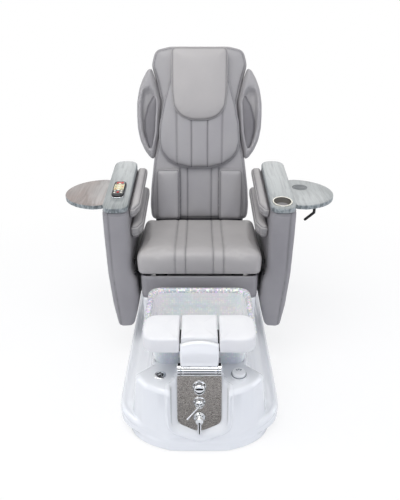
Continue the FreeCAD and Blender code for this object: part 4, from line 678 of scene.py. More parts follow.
def main_face(x, up, d):
    """Side bolsters that stand proud of a flatter middle, and a head that falls back at its sides."""
    side = np.abs(x)
    bolster = 7 * np.exp(-((side - 225) / 26) ** 2) * (1 - smooth_step(430, 560, up))
    strip = -5 * (1 - smooth_step(96, 110, side)) * (1 - smooth_step(262, 300, up))
    head = -9 * smooth_step(150, 240, side) * smooth_step(600, 700, up)
    return bolster + strip + head


stuffed("back_main", "back", LEATHER, BACK, both_sides(BACK_SIDE), -108, 72, 24, 46, ("back_cushion",), draw=5,
        seams=[((x, -40), (x, 262)) for x in (-104, -64, 64, 104)], edge=12, face=main_face, voxel=8, cap=4, fill=0.7)
stuffed("back_bib", "back", LEATHER, BACK, both_sides(BIB_SIDE), -36, 36, 20, 46, ("bib_cushion",), draw=6,
        seams=[((x, 240), (x, 560)) for x in (-118, -42, 42, 118)], edge=7, voxel=7, cap=5, fill=0.65,
        face=lambda x, up, d: 3 * smooth_step(0, 90, d), groove=3.0)
stuffed("headrest", "back", LEATHER_PAINTED_LIT, BACK, both_sides(PILLOW_SIDE), 0, 24, 17, 40, ("headrest_pillow",), draw=5,
        edge=7, voxel=6, cap=6, fill=0.75, face=lambda x, up, d: 6 * smooth_step(0, 80, d), groove=2.0)


# %% Shoulder wings with their inner pads
def wing_face(x, up, d):
    """A rolled rim outside, and a hollow where the inner pad sits."""
    hollow = smooth_step(20, 34, d) * smooth_step(300, 330, up) * (1 - smooth_step(640, 680, up))
    return -30 * hollow


wing_inside = [(x, up, radius) for x, up, radius in BACK_SIDE if 442 <= up <= 711]
WING = [(243.5, 306, 8)] + list(WING_OUTSIDE) + [(245, 764, 8)] + wing_inside[::-1]
stuffed("wing_right_shell", "back", LEATHER, BACK, WING, -106, 78, 24, 26, ("wing_right",), draw=3, edge=None,
        face=wing_face, voxel=6, cap=2.5, fill=0.5, mirror=("wing_left_shell", "wing_left"))
INNER_PAD = ((212, 628, 16), (240, 640, 40), (272, 585, 60), (292, 510, 60), (292, 455, 60), (279, 390, 50),
             (254, 330, 20), (240, 334, 10), (230, 421, 60), (216, 535, 60))
stuffed("wing_pad_right", "back", LEATHER_PAINTED_DEEP_SHADE, BACK, INNER_PAD, -56, 26, 13, 24, draw=3, edge=6, voxel=5,
        cap=3, fill=0.8, mirror=("wing_pad_left",), face=lambda x, up, d: 4 * smooth_step(0, 40, d))

# %% The back shell: a dished moulding behind the cushions
shell_outline = rounded(both_sides(BACK_SIDE), 300)
shell_rings = [carried(BACK, lifted(shrunk(shell_outline, inset), depth)) for depth, inset in (
    (-109, 3), (-130, 4), (-156, 7), (-180, 16), (-192, 26), (-200, 40), (-204, 56))]
placed(skin("back_moulding", shell_rings, SHELL_BLACK), "back", "shell_black", "back_shell")

# %% Lumbar pads
LUMBAR = ((104, -14, 26), (232, -14, 36), (232, 260, 30), (104, 260, 18))
stuffed("lumbar_right", "back", LEATHER, BACK, LUMBAR, -40, 42, 17, 30, ("lumbar_pads",), draw=4, edge=6, voxel=6,
        cap=4, fill=0.8, mirror=("lumbar_left",), face=lambda x, up, d: 3 * smooth_step(0, 60, d))

# %% [markdown]
# ## Seat and skirt
# The seat is one thick block cushion. Two double seams run from back to front and over the rounded nose, down to the
# seat board. Under it a plain upholstered skirt hides the slide.

# %% Seat cushion
PLAN = stand(0, 0, 0)


def seat_face(x, back, d):
    fall = -20 * np.clip((back - 578) / 462, 0, 1)
    nose = 3 * np.exp(-((back - 640) / 60) ** 2)
    dish = -4 * np.exp(-((back - 850) / 130) ** 2) * np.exp(-(x / 190) ** 2)
    return fall + nose + dish


SEAT = ((291, 578, 34), (292, 1040, 34), (-292, 1040, 34), (-291, 578, 34))
stuffed("seat", "seat", LEATHER_PAINTED_LIT, PLAN, SEAT, 507, 115, 38, 42, ("seat_cushion",), draw=7,
        seams=[((x, 500), (x, 1100)) for x in (-113, -64, 64, 113)], voxel=7.5, cap=6, fill=0.8, face=seat_face,
        groove=2.6)

# %% [markdown]
# ## The moulded base
# A glass-fibre base has no sharp inner corner: the console, the side slopes and the rear block run into the rolled lip
# through hollow fillets. Polygons by hand would make that hard, so the form is described as a distance field, where two
# bodies can be melted together with a chosen fillet radius, and one pass turns the field's zero level into quads.

# %% Distance fields
def soft_min(a, b, radius):
    """Union of two fields with a hollow fillet of about this radius."""
    h = np.clip(0.5 + 0.5 * (b - a) / radius, 0, 1)
    return b + (a - b) * h - radius * h * (1 - h)


def soft_max(a, b, radius):
    return -soft_min(-a, -b, radius)


def signed(points, outline):
    """Signed distance to a closed outline, negative inside."""
    distance, _ = distance_to(points, outline)
    return np.where(inside(points, outline), -distance, distance)


def eased(outline, width):
    """The outline smoothed along its length, which turns a chain of corners into one sweeping curve."""
    reach = int(3 * width / np.linalg.norm(outline[1] - outline[0]))
    steps = np.arange(-reach, reach + 1)
    weights = np.exp(-0.5 * (steps * 3 / reach) ** 2)
    return sum(weight * np.roll(outline, step, axis=0) for step, weight in zip(steps, weights / weights.sum()))


def plan_field(xs, ys, corners, ease=0.0):
    grid = np.stack(np.meshgrid(xs, ys, indexing="ij"), axis=-1).reshape(-1, 2)
    outline = rounded(corners)
    return signed(grid, eased(outline, ease) if ease else outline).reshape(len(xs), len(ys))


def quads_of(field, xs, ys, zs):
    """Vertices and quads of the field's zero level: one vertex in each cell that the surface crosses."""
    sign = field < 0
    corners = [sign[i:sign.shape[0] - 1 + i, j:sign.shape[1] - 1 + j, k:sign.shape[2] - 1 + k]
               for i in (0, 1) for j in (0, 1) for k in (0, 1)]
    count = sum(corner.astype(np.int8) for corner in corners)
    cells = np.argwhere((count > 0) & (count < 8))
    number = np.full(count.shape, -1, np.int64)
    number[tuple(cells.T)] = np.arange(len(cells))
    total = np.zeros((len(cells), 3))
    hits = np.zeros(len(cells))
    for axis in range(3):
        others = [a for a in range(3) if a != axis]
        for i in (0, 1):
            for j in (0, 1):
                first = cells.copy()
                first[:, others[0]] += i
                first[:, others[1]] += j
                second = first.copy()
                second[:, axis] += 1
                a, b = field[tuple(first.T)], field[tuple(second.T)]
                crossing = (a < 0) != (b < 0)
                place = first.astype(float)
                place[:, axis] += np.where(crossing, a / np.where(crossing, a - b, 1), 0)
                total += place * crossing[:, None]
                hits += crossing
    places = total / hits[:, None]
    axes = (xs, ys, zs)
    points = np.stack([axes[a][0] + places[:, a] * (axes[a][1] - axes[a][0]) for a in range(3)], axis=1)
    faces = []
    for axis in range(3):
        others = [(axis + 1) % 3, (axis + 2) % 3]
        low = [slice(None)] * 3
        high = [slice(None)] * 3
        low[axis], high[axis] = slice(0, -1), slice(1, None)
        change = sign[tuple(low)] != sign[tuple(high)]
        edges = np.argwhere(change)
        keep = np.all(edges[:, others] > 0, axis=1) & np.all(edges[:, others] < np.array(count.shape)[others], axis=1)
        edges = edges[keep]
        around = []
        for i, j in ((0, 0), (1, 0), (1, 1), (0, 1)):
            cell = edges.copy()
            cell[:, others[0]] -= i
            cell[:, others[1]] -= j
            around.append(number[tuple(cell.T)])
        quad = np.stack(around, axis=1)
        flip = ~sign[tuple(edges.T)]
        quad[flip] = quad[flip][:, ::-1]
        faces.append(quad)
    faces = np.concatenate(faces)
    return points, faces[np.all(faces >= 0, axis=1)]


def cast(name, field, xs, ys, zs, material, drop=None, rounds=2):
    """A piece from a field. drop(points) marks vertices whose faces are left out."""
    points, faces = quads_of(field, xs, ys, zs)
    if drop is not None:
        gone = drop(points)
        faces = faces[~gone[faces].any(axis=1)]
    used = np.unique(faces)
    renumber = np.full(len(points), -1)
    renumber[used] = np.arange(len(used))
    data = bpy.data.meshes.new(name)
    data.from_pydata((points[used] * MM).tolist(), [], renumber[faces].tolist())
    mesh = bmesh.new()
    mesh.from_mesh(data)
    bmesh.ops.recalc_face_normals(mesh, faces=mesh.faces)
    mesh.to_mesh(data)
    mesh.free()
    piece = relaxed(linked(name, data), rounds)
    piece.data.materials.append(material)
    shaded(piece.data)
    print(name, "quads", len(piece.data.polygons))
    return piece


def grid_axis(low, high, cell):
    return low + cell * np.arange(int(math.ceil((high - low) / cell)) + 1)


# %% Outlines of the base, with places behind the front lip turned into Y
def at_y(corners):
    return [(x, back - ORIGIN_BACK, radius) for x, back, radius in corners]


def nose(half, corners, rear, radius):
    return at_y(both_sides([(half - x, back, r) for x, back, r in corners] + [(half, rear, radius)]))


LIP_NOSE = ((214, 0, 40), (157, 32, 40), (80, 62, 60), (17, 107, 60), (0, 168, 70))
PLINTH_NOSE = ((187, 2, 40), (150, 12, 40), (93, 33, 40), (25, 81, 60), (0, 137, 60))
CONSOLE_FOOT = ((125, 5, 30), (180, 34, 30), (240, 62, 30), (284, 112, 30), (292, 176, 12), (200, 250, 12))
CONSOLE_TOP = ((110, 12, 30), (165, 31, 30), (215, 59, 30), (256, 108, 20), (262, 134, 14), (176, 214, 12))
LIP = nose(342, LIP_NOSE, 1190, 90)
PLINTH = nose(302, PLINTH_NOSE, 1150, 60)
DECK = 300.0
BOWL_TOP = 452.0


def bowl_plan(height, out, corner):
    """The bowl's outer wall at a height, moved out by some millimetres."""
    share = (BOWL_TOP - height) / 300
    half = 217 - share * 46 + out
    front, rear = 183 + share * 16 - out, 543 - share * 46 + out
    return at_y(both_sides([(half, front, corner), (half, rear, corner)]))


def lerp_levels(levels, zs):
    """A field over the grid from plan fields at a few heights."""
    heights = [height for height, _ in levels]
    result = np.empty(levels[0][1].shape + (len(zs),))
    for k, z in enumerate(zs):
        z = min(max(z, heights[0]), heights[-1])
        i = max(0, min(len(heights) - 2, int(np.searchsorted(heights, z, "right")) - 1))
        t = (z - heights[i]) / (heights[i + 1] - heights[i])
        result[:, :, k] = levels[i][1] * (1 - t) + levels[i + 1][1] * t
    return result


PLATE_LEAN = math.radians(15.5)
PLATE = stand(0, 26, 86, math.radians(90 - 15.5))
PLATE_LENGTH = (DECK + 21 - 86) / math.cos(PLATE_LEAN)
PLATE_PLAN = [(0, 0, 70), (89, 41.6, 31), (89, PLATE_LENGTH, 2), (-89, PLATE_LENGTH, 2), (-89, 41.6, 31)]

# %% The base as one field
CELL = 4.4
base_x = grid_axis(-354, 354, CELL)
base_y = grid_axis(-724, 492, CELL)
base_z = grid_axis(-8, 392, CELL)
X, Y, Z = np.meshgrid(base_x, base_y, base_z, indexing="ij")
BACK_F = Y + ORIGIN_BACK


def base_plan(*corners):
    """A plan field over the base's grid from the right half of an outline."""
    return plan_field(base_x, base_y, at_y(both_sides(corners)))


def column(plan):
    """The plan field at every height."""
    return np.repeat(plan[:, :, None], len(base_z), axis=2)


lip_field = plan_field(base_x, base_y, LIP, 34)
plinth_field = plan_field(base_x, base_y, PLINTH, 34)
crest = 62 + 50 * smooth_step(-20, 150, BACK_F[:, :, 0])
inwards = np.maximum(0, -lip_field)
top = crest + 4 * np.exp(-((inwards - 13) / 8) ** 2) - 6 * smooth_step(20, 30, inwards)
top = top - 9 * smooth_step(30, 50, inwards) * smooth_step(20, 160, BACK_F[:, :, 0])
body = lerp_levels([(0, plinth_field), (30, plinth_field + 1), (40, plinth_field * 0.8 + lip_field * 0.2),
                    (46, plinth_field * 0.1 + lip_field * 0.9), (54, lip_field), (120, lip_field)], base_z)
rise = 50 * smooth_step(-20, 150, BACK_F)
groove_height = 46 + rise
body = body + 3.5 * np.exp(-((Z - groove_height) / 5) ** 2) * smooth_step(8, 40, rise)
pan = soft_max(body, Z - top[:, :, None], 11)
console = lerp_levels([(50, base_plan(*CONSOLE_FOOT)), (DECK, base_plan(*CONSOLE_TOP))], base_z)
bevel = (console + (Z - DECK) + 13) * math.sqrt(0.5)
console = soft_max(np.maximum(console, Z - DECK), bevel, 2.0)
slope_levels = []
for share in (0, 0.12, 0.25, 0.4, 0.6, 0.8, 1.0):
    flare = (1 - share) ** 2.2
    half, front = 200 + 112 * flare, 190 - 30 * flare
    slope_levels.append((92 + 208 * share, base_plan((half, front, 30), (half, 1150, 20))))
slopes = soft_max(lerp_levels(slope_levels, base_z), Z - DECK, 5)
pedestal = soft_max(column(base_plan((274, 579, 26), (274, 1150, 26))), Z - 378, 9)
hump = soft_max(column(base_plan((95, 20, 6), (95, 179, 6))), Z - 321, 4)
field = pan
for part, fillet in ((slopes, 46), (pedestal, 22), (console, 5), (hump, 6)):
    field = soft_min(field, part, fillet)
# The slot for the tap plate, its walls opening towards the front
to_plate = np.array(PLATE.inverted())
whole = np.stack([X * MM, Y * MM, Z * MM, np.ones_like(X)], axis=-1) @ to_plate.T
U, V, W = whole[..., 0], whole[..., 1], whole[..., 2]
near = (np.abs(U) < 130) & (V > -60) & (V < 330) & (W > -30)
slot = np.full(field.shape, 200.0)
slot[near] = signed(np.stack([U[near], V[near]], axis=1), rounded(PLATE_PLAN, 160))
slot = slot - 1.5 - 22 * smooth_step(2, 27, W)
slot = soft_max(slot, -W - 0.3, 2)
border = np.abs(slot - 13) - 6
border = np.where(near & (V > -45) & (V < 262), np.maximum(border, field - 5), 200)
field = soft_min(field, border, 5)
field = soft_max(field, -slot, 3)


def in_bowl(points):
    share = np.clip((points[:, 2] - 152) / 300, 0, 1)
    low, high = (signed(points[:, :2], rounded(bowl_plan(height, -3.0, 46))) for height in (152, BOWL_TOP))
    return (low * (1 - share) + high * share < 0) | (points[:, 2] < 1.0)


base = cast("moulded_base", field, base_x, base_y, base_z, GELCOAT, in_bowl, 2)
values = coordinates_of(base)
values[:, 2] = np.maximum(values[:, 2], 0.0005)
move_to(base, values)
placed(base, "base", "gelcoat", "base_shell")

# %% [markdown]
# ### The foot bowl
# The bowl is vacuum-formed from a pearly sheet: a broad rolled rim, side walls that lean in, and an offset floor. It is
# skinned ring by ring, which keeps the wall's quads in clean rows for its lens pattern.

# %% Foot bowl
def bowl_ring(height, out, radius=60.0):
    """A ring of the bowl at a height, moved out from its outer wall."""
    corner = max(12.0, radius - 10 * (BOWL_TOP - height) / 300 + min(out, 0) * 0.6)
    return lifted(rounded(bowl_plan(height, out, corner), 240), height) * MM


BOWL_RINGS = [(153, -24, 40), (154, -6), (162, 0)]
BOWL_RINGS += [(height, 0) for height in (200, 260, 320, 380, 420, 432)]
BOWL_RINGS += [(434, 8), (435, 17), (438, 19.5), (444, 20), (449, 18), (452, 14), (453.5, 6), (453, -1), (450, -5),
               (444, -7)]
BOWL_RINGS += [(height, -7 - 3 * math.sin((height - 190) / 250 * math.pi)) for height in (436, 410, 370, 320, 270,
        220, 190)]
BOWL_RINGS += [(176, -9), (167, -16), (162, -28), (159.5, -60, 40)]
RIM_FROM = 0.431  # metres above the floor
bowl = skin("foot_bowl", [bowl_ring(*ring) for ring in BOWL_RINGS], PEARL)
bowl.data.materials.append(PEARL_RIM)
for polygon in bowl.data.polygons:
    if polygon.center.z > RIM_FROM:
        polygon.material_index = 1
placed(bowl, "base", "bowl_crystal", "bowl")

# %% [markdown]
# ## Arms
# Each arm is one upholstered shell that narrows to a foot, with a welt down its front and a wood-laminate cap on top.
# On its inner side sit two air pads that squeeze the forearm, with the slot for the arm between them. The shell is a
# distance field again, because its inner side swells below the seat; the pads are stuffed pieces.

# %% The arm shell
CAP_SLOPE = math.atan(64 / 500)
ARM_FRONT, ARM_REAR = 578.0, 1078.0
ARM_SIDE = ((318, 1000, 4), (318, 520, 60), (296, 452, 60), (291, 362, 80), (301, 300, 80), (312, 255, 50),
            (322, 218, 16),
            (328, 203, 14), (394, 203, 14), (401, 218, 24), (419, 330, 130), (432, 498, 160), (435, 700, 100),
            (434, 1000, 4))
arm_x = grid_axis(279, 450, 5.0)
arm_y = grid_axis(ARM_FRONT - ORIGIN_BACK - 12, ARM_REAR - ORIGIN_BACK + 12, 5.0)
arm_z = grid_axis(190, 900, 5.0)
X, Y, Z = np.meshgrid(arm_x, arm_y, arm_z, indexing="ij")
side_grid = np.stack(np.meshgrid(arm_x, arm_z, indexing="ij"), axis=-1).reshape(-1, 2)
side_plan = signed(side_grid, rounded(ARM_SIDE, 320)).reshape(len(arm_x), len(arm_z))
shape = np.repeat(side_plan[:, None, :], len(arm_y), axis=1)
F = Y + ORIGIN_BACK
front = ARM_FRONT + 9 - F - 8 * np.exp(-((X - 374) / 44) ** 2)
rear = F - (ARM_REAR - 4)
shape = soft_max(shape, front, 34)
shape = soft_max(shape, rear, 26)
under_cap = Z - (818 + (F - ARM_FRONT) * math.tan(CAP_SLOPE)) + 0.6
foot = (206 + 0.09 * (F - ARM_FRONT)) - Z
shape = soft_max(shape, foot, 16)
shape = soft_max(shape, under_cap, 5)
arm_right = cast("arm_right", shape, arm_x, arm_y, arm_z, LEATHER_PAINTED_SHADED, None, 4)


def paint_seams(piece, lines, groove=1.6, puckers=0.35):
    """Press seams given as functions of the points (distance, along) into a piece and store them for the material."""
    values = coordinates_of(piece)
    best = np.full(len(values), 0.9)
    along = np.zeros(len(values))
    for line in lines:
        distance, place = line(values / MM)
        distance, place = distance * MM, place * MM
        nearer = distance < best
        best[nearer], along[nearer] = distance[nearer], place[nearer]
    press = groove * np.exp(-(best / MM / 2.8) ** 2) + 0.4 * groove * np.exp(-(best / MM / 9.0) ** 2)
    waves = gathers(values, 1.0) * puckers
    move_to(piece, values - coordinates_of(piece, "normal") * ((press - waves) * MM)[:, None])
    store_seams(piece, best, along)


def welt_at(across):
    """A seam down the arm's front face and along its underside, at one place across."""
    def line(points):
        y = points[:, 1] + ORIGIN_BACK
        off = np.abs(points[:, 0] - across(points[:, 2]))
        away = np.maximum(0, y - (ARM_FRONT + 34))
        return np.hypot(off, away), points[:, 2]
    return line


def top_piping(points):
    """The seam where the shell is tacked under the cap."""
    edge = 818 + (points[:, 1] + ORIGIN_BACK - ARM_FRONT) * math.tan(CAP_SLOPE) - 9
    return np.abs(points[:, 2] - edge), points[:, 1]


paint_seams(arm_right, [welt_at(lambda z: 406 - 20 * (1 - smooth_step(215, 560, z))), top_piping], 1.8, 0.3)
arm_left = mirrored_piece(arm_right, "arm_left")
for piece, node in ((arm_right, "arm_shell_right"), (arm_left, "arm_shell_left")):
    placed(piece, "seat", "upholstery", node, fill=0.9)

# %% Arm air pads
CAP = stand(0, ARM_FRONT, 818, CAP_SLOPE)


def pad_plan(inner, rear):
    """The pads are cut off slantwise at the front, where the forearm goes in."""
    return ((inner, 46 + 52, 60), (inner + 24, 46, 30), (317.6, 46, 6), (317.6, rear, 6), (inner, rear, 16))


for name, node, rear, level, pad_height, crown, roll, inner, draw in (
        ("upper", ("arm_pads_right",), 486, -52.4, 52, 15, 18, 268, 10),
        ("lower", (), 455, -162.4, 68, 16, 20, 260, 12)):
    pad = pad_plan(inner, rear)
    twin = (f"arm_pad_{name}_left", "arm_pads_left") if node else (f"arm_pad_{name}_left",)
    stuffed(f"arm_pad_{name}_right", "seat", LEATHER_PAINTED_LIT, CAP, pad, level, pad_height, crown, roll, node, draw=draw,
            voxel=6, cap=3, fill=0.85, mirror=twin, puckers=0.35, seams=[shrunk(rounded(pad), 5.5)])

# %% Wood caps
CAP_PLAN = ((317, 0, 46), (431, 0, 46), (431, 504, 54), (317, 504, 54))


def piece_of(mesh, name, place, *materials, sharp=38):
    """Turn a finished bmesh in millimetres into a piece in its place."""
    bmesh.ops.transform(mesh, matrix=place, verts=mesh.verts)
    bmesh.ops.recalc_face_normals(mesh, faces=mesh.faces)
    data = mesh_from(name, mesh)
    for material in materials:
        data.materials.append(material)
    shaded(data)
    data.set_sharp_from_angle(angle=math.radians(sharp))
    return linked(name, data)


def slab(name, place, corners, low, high, low_edge, high_edge, material, edge_material=None, count=200):
    """A flat piece: its outline as one face, extruded, with both rims bevelled round."""
    mesh = bmesh.new()
    face = mesh.faces.new([mesh.verts.new((x, y, low)) for x, y in rounded(corners, count)])
    grown = bmesh.ops.extrude_face_region(mesh, geom=[face])["geom"]
    bmesh.ops.translate(mesh, vec=(0, 0, high - low), verts=[g for g in grown if isinstance(g, bmesh.types.BMVert)])
    for level, size in ((low, low_edge), (high, high_edge)):
        rim = [edge for edge in mesh.edges if all(abs(v.co.z - level) < 1e-6 for v in edge.verts)]
        bmesh.ops.bevel(mesh, geom=rim, offset=size, affect="EDGES", segments=4, profile=0.5, material=-1,
                        clamp_overlap=True)
    if edge_material:
        mesh.normal_update()
        for side in mesh.faces:
            side.material_index = int(abs(side.normal.z) < 0.6)
    return piece_of(mesh, name, place, *[m for m in (material, edge_material) if m])


def turned(name, place, profile, material, segments=96, sharp=38):
    """A lathe piece from (radius, height) corners in its own frame, closed at both ends."""
    mesh = bmesh.new()
    corners = [mesh.verts.new((radius, 0, height)) for radius, height in profile]
    edges = [mesh.edges.new(pair) for pair in zip(corners, corners[1:])]
    bmesh.ops.spin(mesh, geom=corners + edges, axis=(0, 0, 1), cent=(0, 0, 0), angle=2 * math.pi, steps=segments,
                   use_merge=True, use_duplicate=False)
    bmesh.ops.remove_doubles(mesh, verts=mesh.verts, dist=1e-4)
    return piece_of(mesh, name, place, material, sharp=sharp)


def cut_round(piece, place, across, along, radius, low, high):
    """Cut a round hole with a boolean, then drop the cutter."""
    cutter_mesh = bmesh.new()
    bmesh.ops.create_cone(cutter_mesh, cap_ends=True, segments=96, radius1=radius, radius2=radius, depth=high - low,
                          matrix=Matrix.Translation((across, along, (low + high) / 2)))
    bmesh.ops.transform(cutter_mesh, matrix=place, verts=cutter_mesh.verts)
    data = mesh_from("cutter", cutter_mesh)
    cutter = linked("cutter", data)
    modified(piece, "BOOLEAN", operation="DIFFERENCE", object=cutter, solver="EXACT")
    piece.data.set_sharp_from_angle(angle=math.radians(30))
    bpy.data.objects.remove(cutter)
    bpy.data.meshes.remove(data)
    return piece


CUP_SIDE, CUP_ALONG = 372.5, 64 / math.cos(CAP_SLOPE)
cap_right = slab("wood_cap_right", CAP, CAP_PLAN, 0.2, 24, 3, 5, WOOD, WOOD_EDGE)
cut_round(cap_right, CAP, CUP_SIDE, CUP_ALONG, 41.5, -30, 60)
cap_left = slab("wood_cap_left", CAP, [(-x, y, r) for x, y, r in reversed(CAP_PLAN)], 0.2, 24, 3, 5, WOOD, WOOD_EDGE)
for piece, node in ((cap_right, "arm_cap_right"), (cap_left, "arm_cap_left")):
    placed(piece, "seat", "wood_laminate", node)

# %% [markdown]
# ## Trays
# Each tray is a D of laminate board with a dark edge band and a crisp lower edge. The right one carries a plain dark
# inlaid disc with a raised ring.

# %% Trays
def tray(name, sign, material):
    points = []
    for degrees in np.linspace(-82.5, 82.5, 60):
        angle = math.radians(degrees)
        points.append((sign * (464 + 183 * math.cos(angle)), 847 - ORIGIN_BACK + 183 * math.sin(angle)))
    first, last = points[0], points[-1]
    corners = [(x, y, 4) for x, y in points]
    corners += [(sign * 443, last[1] - 8, 16), (sign * 440, last[1] - 34, 14), (sign * 440, first[1] + 34, 14),
                (sign * 443, first[1] + 8, 16)]
    return slab(name, Matrix.Scale(MM, 4), corners, 801.3, 820, 2.5, 3.5, material, WOOD_EDGE, 300)


placed(tray("tray_board_right", 1, WOOD), "right_tray", "wood_laminate", "tray_right")
placed(tray("tray_board_left", -1, WOOD_WARM), "left_tray", "wood_laminate", "tray_left")
INLAY = moulded("dark_inlay_disc", "5b6063", "4e5356", 0.45, 700.0, 0.1)
DISC_PROFILE = ((37, -0.5), (38, 0.3), (37.6, 0.9), (36, 1.2), (35, 0.7), (25, 0.7), (24.4, 1.0), (23.4, 1.0),
                (22.8, 0.7), (0, 0.7))
placed(turned("tray_disc", stand(499, 912, 820), DISC_PROFILE, INLAY), "right_tray", "remote_black")

# %% [markdown]
# ## Footrest
# Three matt foam pads sit side by side on a hinged plate. The middle one runs down at the front into a glossy arched
# cover that ends at the chrome hinge.

# %% Footrest pads
HINGE_Z = DECK + 62
PAD_LOW = HINGE_Z + 100
CENTRE_PAD = at_y(both_sides([(71, 68, 6), (71, 227, 6)]))
SIDE_PAD = at_y([(77, 55, 8), (220, 55, 60), (220, 227, 60), (77, 227, 8)])


def foam_pad(name, corners, top, node, mirror=None):
    """A moulded foam pad: near-vertical sides, an 11 mm rolled edge and an almost flat top."""
    outline = rounded(corners, 200)
    middle = outline.mean(axis=0)
    rings = []
    for level, inset in ((0, 5), (2, 2), (8, 0.6), (28, 0), (46, 0.2), (top - 11, 1.0)):
        rings.append(lifted(shrunk(outline, inset), PAD_LOW + level))
    for degrees in (22, 45, 67, 90):
        angle = math.radians(degrees)
        edge = shrunk(outline, 1.0 + 10 * (1 - math.cos(angle)))
        rings.append(lifted(edge, PAD_LOW + top - 11 + 10 * math.sin(angle)))
    for share in (0.12, 0.3, 0.5, 0.72, 0.9):
        line = edge + (middle - edge) * share
        rings.append(lifted(line, PAD_LOW + top - 1 + 2.0 * math.sin(share * math.pi / 2)))
    piece = skin(name, [ring * MM for ring in rings], PAD_WHITE)
    twin = mirrored_piece(piece, mirror) if mirror else None
    placed(piece, "footrest", "footrest_vinyl", node, fill=0.95)
    if twin:
        placed(twin, "footrest", "footrest_vinyl", fill=0.95)


foam_pad("foot_pad_right", SIDE_PAD, 65, "footrest_side_pads", "foot_pad_left")
foam_pad("foot_pad_centre", CENTRE_PAD, 66, "footrest_pad_centre")


# %% The arched glossy cover under the middle pad
def cover_skin():
    """Rings from the hinge up: close to the hinge, swelling forward, the top edge arched in front of the middle pad."""
    half, low, arch = 75.0, HINGE_Z + 29.5, 178.0
    rings = []
    for t in [0, 0.03] + list(np.linspace(0.08, 0.94, 16)) + [0.97, 0.99, 1.0]:
        front, rear = [], []
        for u in np.linspace(-1, 1, 61):
            high = PAD_LOW + 52 - (arch - math.sqrt(arch ** 2 - (half * u) ** 2))
            z = low + (high - low) * t
            edge = 10 * max(0, (abs(u) - 0.88) / 0.12) ** 2
            lip = 5 * max(0, (t - 0.94) / 0.06) ** 2 + 3 * max(0, (0.05 - t) / 0.05) ** 2
            front.append(world(half * u, 64 - 15 * math.sin(math.pi * (0.08 + 0.72 * t)) + edge + lip, z))
            rear.append(world(half * u, 116 - 50 * smooth_step(PAD_LOW - 22, PAD_LOW - 6, z), z))
        rings.append(front + rear[::-1])
    return rings


placed(skin("footrest_cover", cover_skin(), GLOSS_WHITE), "footrest", "knob_white", "footrest_housing")

# %% Chrome hinge sleeve with end caps and thin rings
HINGE = stand(0, 84, HINGE_Z, math.radians(90), "Y")
SLEEVE = ((0, -72.4), (27, -72.4), (28.4, -71), (28.4, -66), (29.2, -65), (29.2, -62), (28.4, -61), (28.4, 61),
          (29.2, 62), (29.2, 65), (28.4, 66), (28.4, 71), (27, 72.4), (0, 72.4))
EAR = ((0, 73.4), (28, 73.4), (29, 74.4), (29, 85), (26, 87.6), (0, 88.4))
placed(turned("hinge_sleeve", HINGE, SLEEVE, CHROME), "footrest", "chrome", "hinge_barrel")
for side in (-1, 1):
    profile = [(radius, side * along) for radius, along in EAR]
    placed(turned(f"hinge_ear_{side + 2}", HINGE, profile, CHROME), "base", "chrome")

# %% [markdown]
# ## Skirt
# A plain upholstered apron hides the seat's slide. It is stretched over a board, so it is nearly flat, with soft
# corners and a hem.

# %% Skirt
SKIRT_REAR = 0.3435  # metres; behind this the skirt is open, where the backrest's foot swings
SKIRT_BOARD = 0.004
SKIRT_LEVELS = ((378.6, -3), (380, -0.5), (386, 0.6), (400, 1.0), (435, 1.6), (470, 1.0), (486, 0.4), (490.5, -1),
                (492, -4))
skirt_rings = []
for z, out in SKIRT_LEVELS:
    plan = at_y(both_sides([(272 + out, 590.5 - out, 24), (272 + out, 1058, 3)]))
    skirt_rings.append(lifted(rounded(plan, 260), z) * MM)
skirt = skin("skirt_cover", skirt_rings, LEATHER_PAINTED_SHADED, caps=(False, False))
mesh = bmesh.new()
mesh.from_mesh(skirt.data)
open_rear = [face for face in mesh.faces if face.calc_center_median().y > SKIRT_REAR]
bmesh.ops.delete(mesh, geom=open_rear, context="FACES")
mesh.to_mesh(skirt.data)
mesh.free()
modified(skirt, "SOLIDIFY", thickness=-SKIRT_BOARD)
paint_seams(skirt, [lambda p: (np.abs(p[:, 2] - 388), p[:, 0] + p[:, 1])], 0.8, 0.5)
placed(skirt, "base", "upholstery", "skirt", fill=0.4)

# %% [markdown]
# ## Remote control
# The remote lies on the left cap: a black body with a chrome edge, a pale panel with keys, a red key for power and a
# blank display. Its panels are thin inlays, so they catch a crisp edge.

# %% Remote
REMOTE = shifted(CAP, -372.5, 168.4)


def plate(half_across, start, end, radius):
    return [(x, y, radius) for x, y in ((half_across, start), (half_across, end), (-half_across, end),
                                        (-half_across, start))]


def inlay(name, plan, heights, rims, material, finish, *nodes, at=(0, 0)):
    """A slab on the remote: its plan, the heights of its two faces and the bevels of their rims."""
    return placed(slab(name, shifted(REMOTE, *at), plan, *heights, *rims, material), "remote_control", finish, *nodes)


inlay("remote_body", plate(28.3, -74.3, 74.3, 25), (24.2, 40), (1.5, 4.5), BLACK_GLOSS, "remote_black", "remote")
inlay("remote_edge", plate(29.4, -75.4, 75.4, 26), (24.2, 30), (0.8, 1.6), CHROME, "chrome")
inlay("remote_panel", plate(22.5, -18, 38, 4), (39.4, 40.5), (0.3, 0.4), CREAM, "key_light")
inlay("remote_display", plate(16, 44, 60, 3), (39.4, 40.6), (0.3, 0.4), KEY_RED, "key_red")
for number, spot in enumerate(((-15.5, 30), (15.5, 30), (-15.5, -10), (15.5, -10), (-15.5, 10), (15.5, 10))):
    shade = KEY_RED if number in (2, 5) else LABEL_GREY
    inlay(f"remote_mark_{number}", plate(3.6, -3, 3, 1.5), (40.2, 41.0), (0.1, 0.3), shade, "key_light", at=spot)
SMALL_KEY = ((0, 39.5), (4.6, 39.5), (4.6, 40.7), (4.0, 41.2), (0, 41.4))
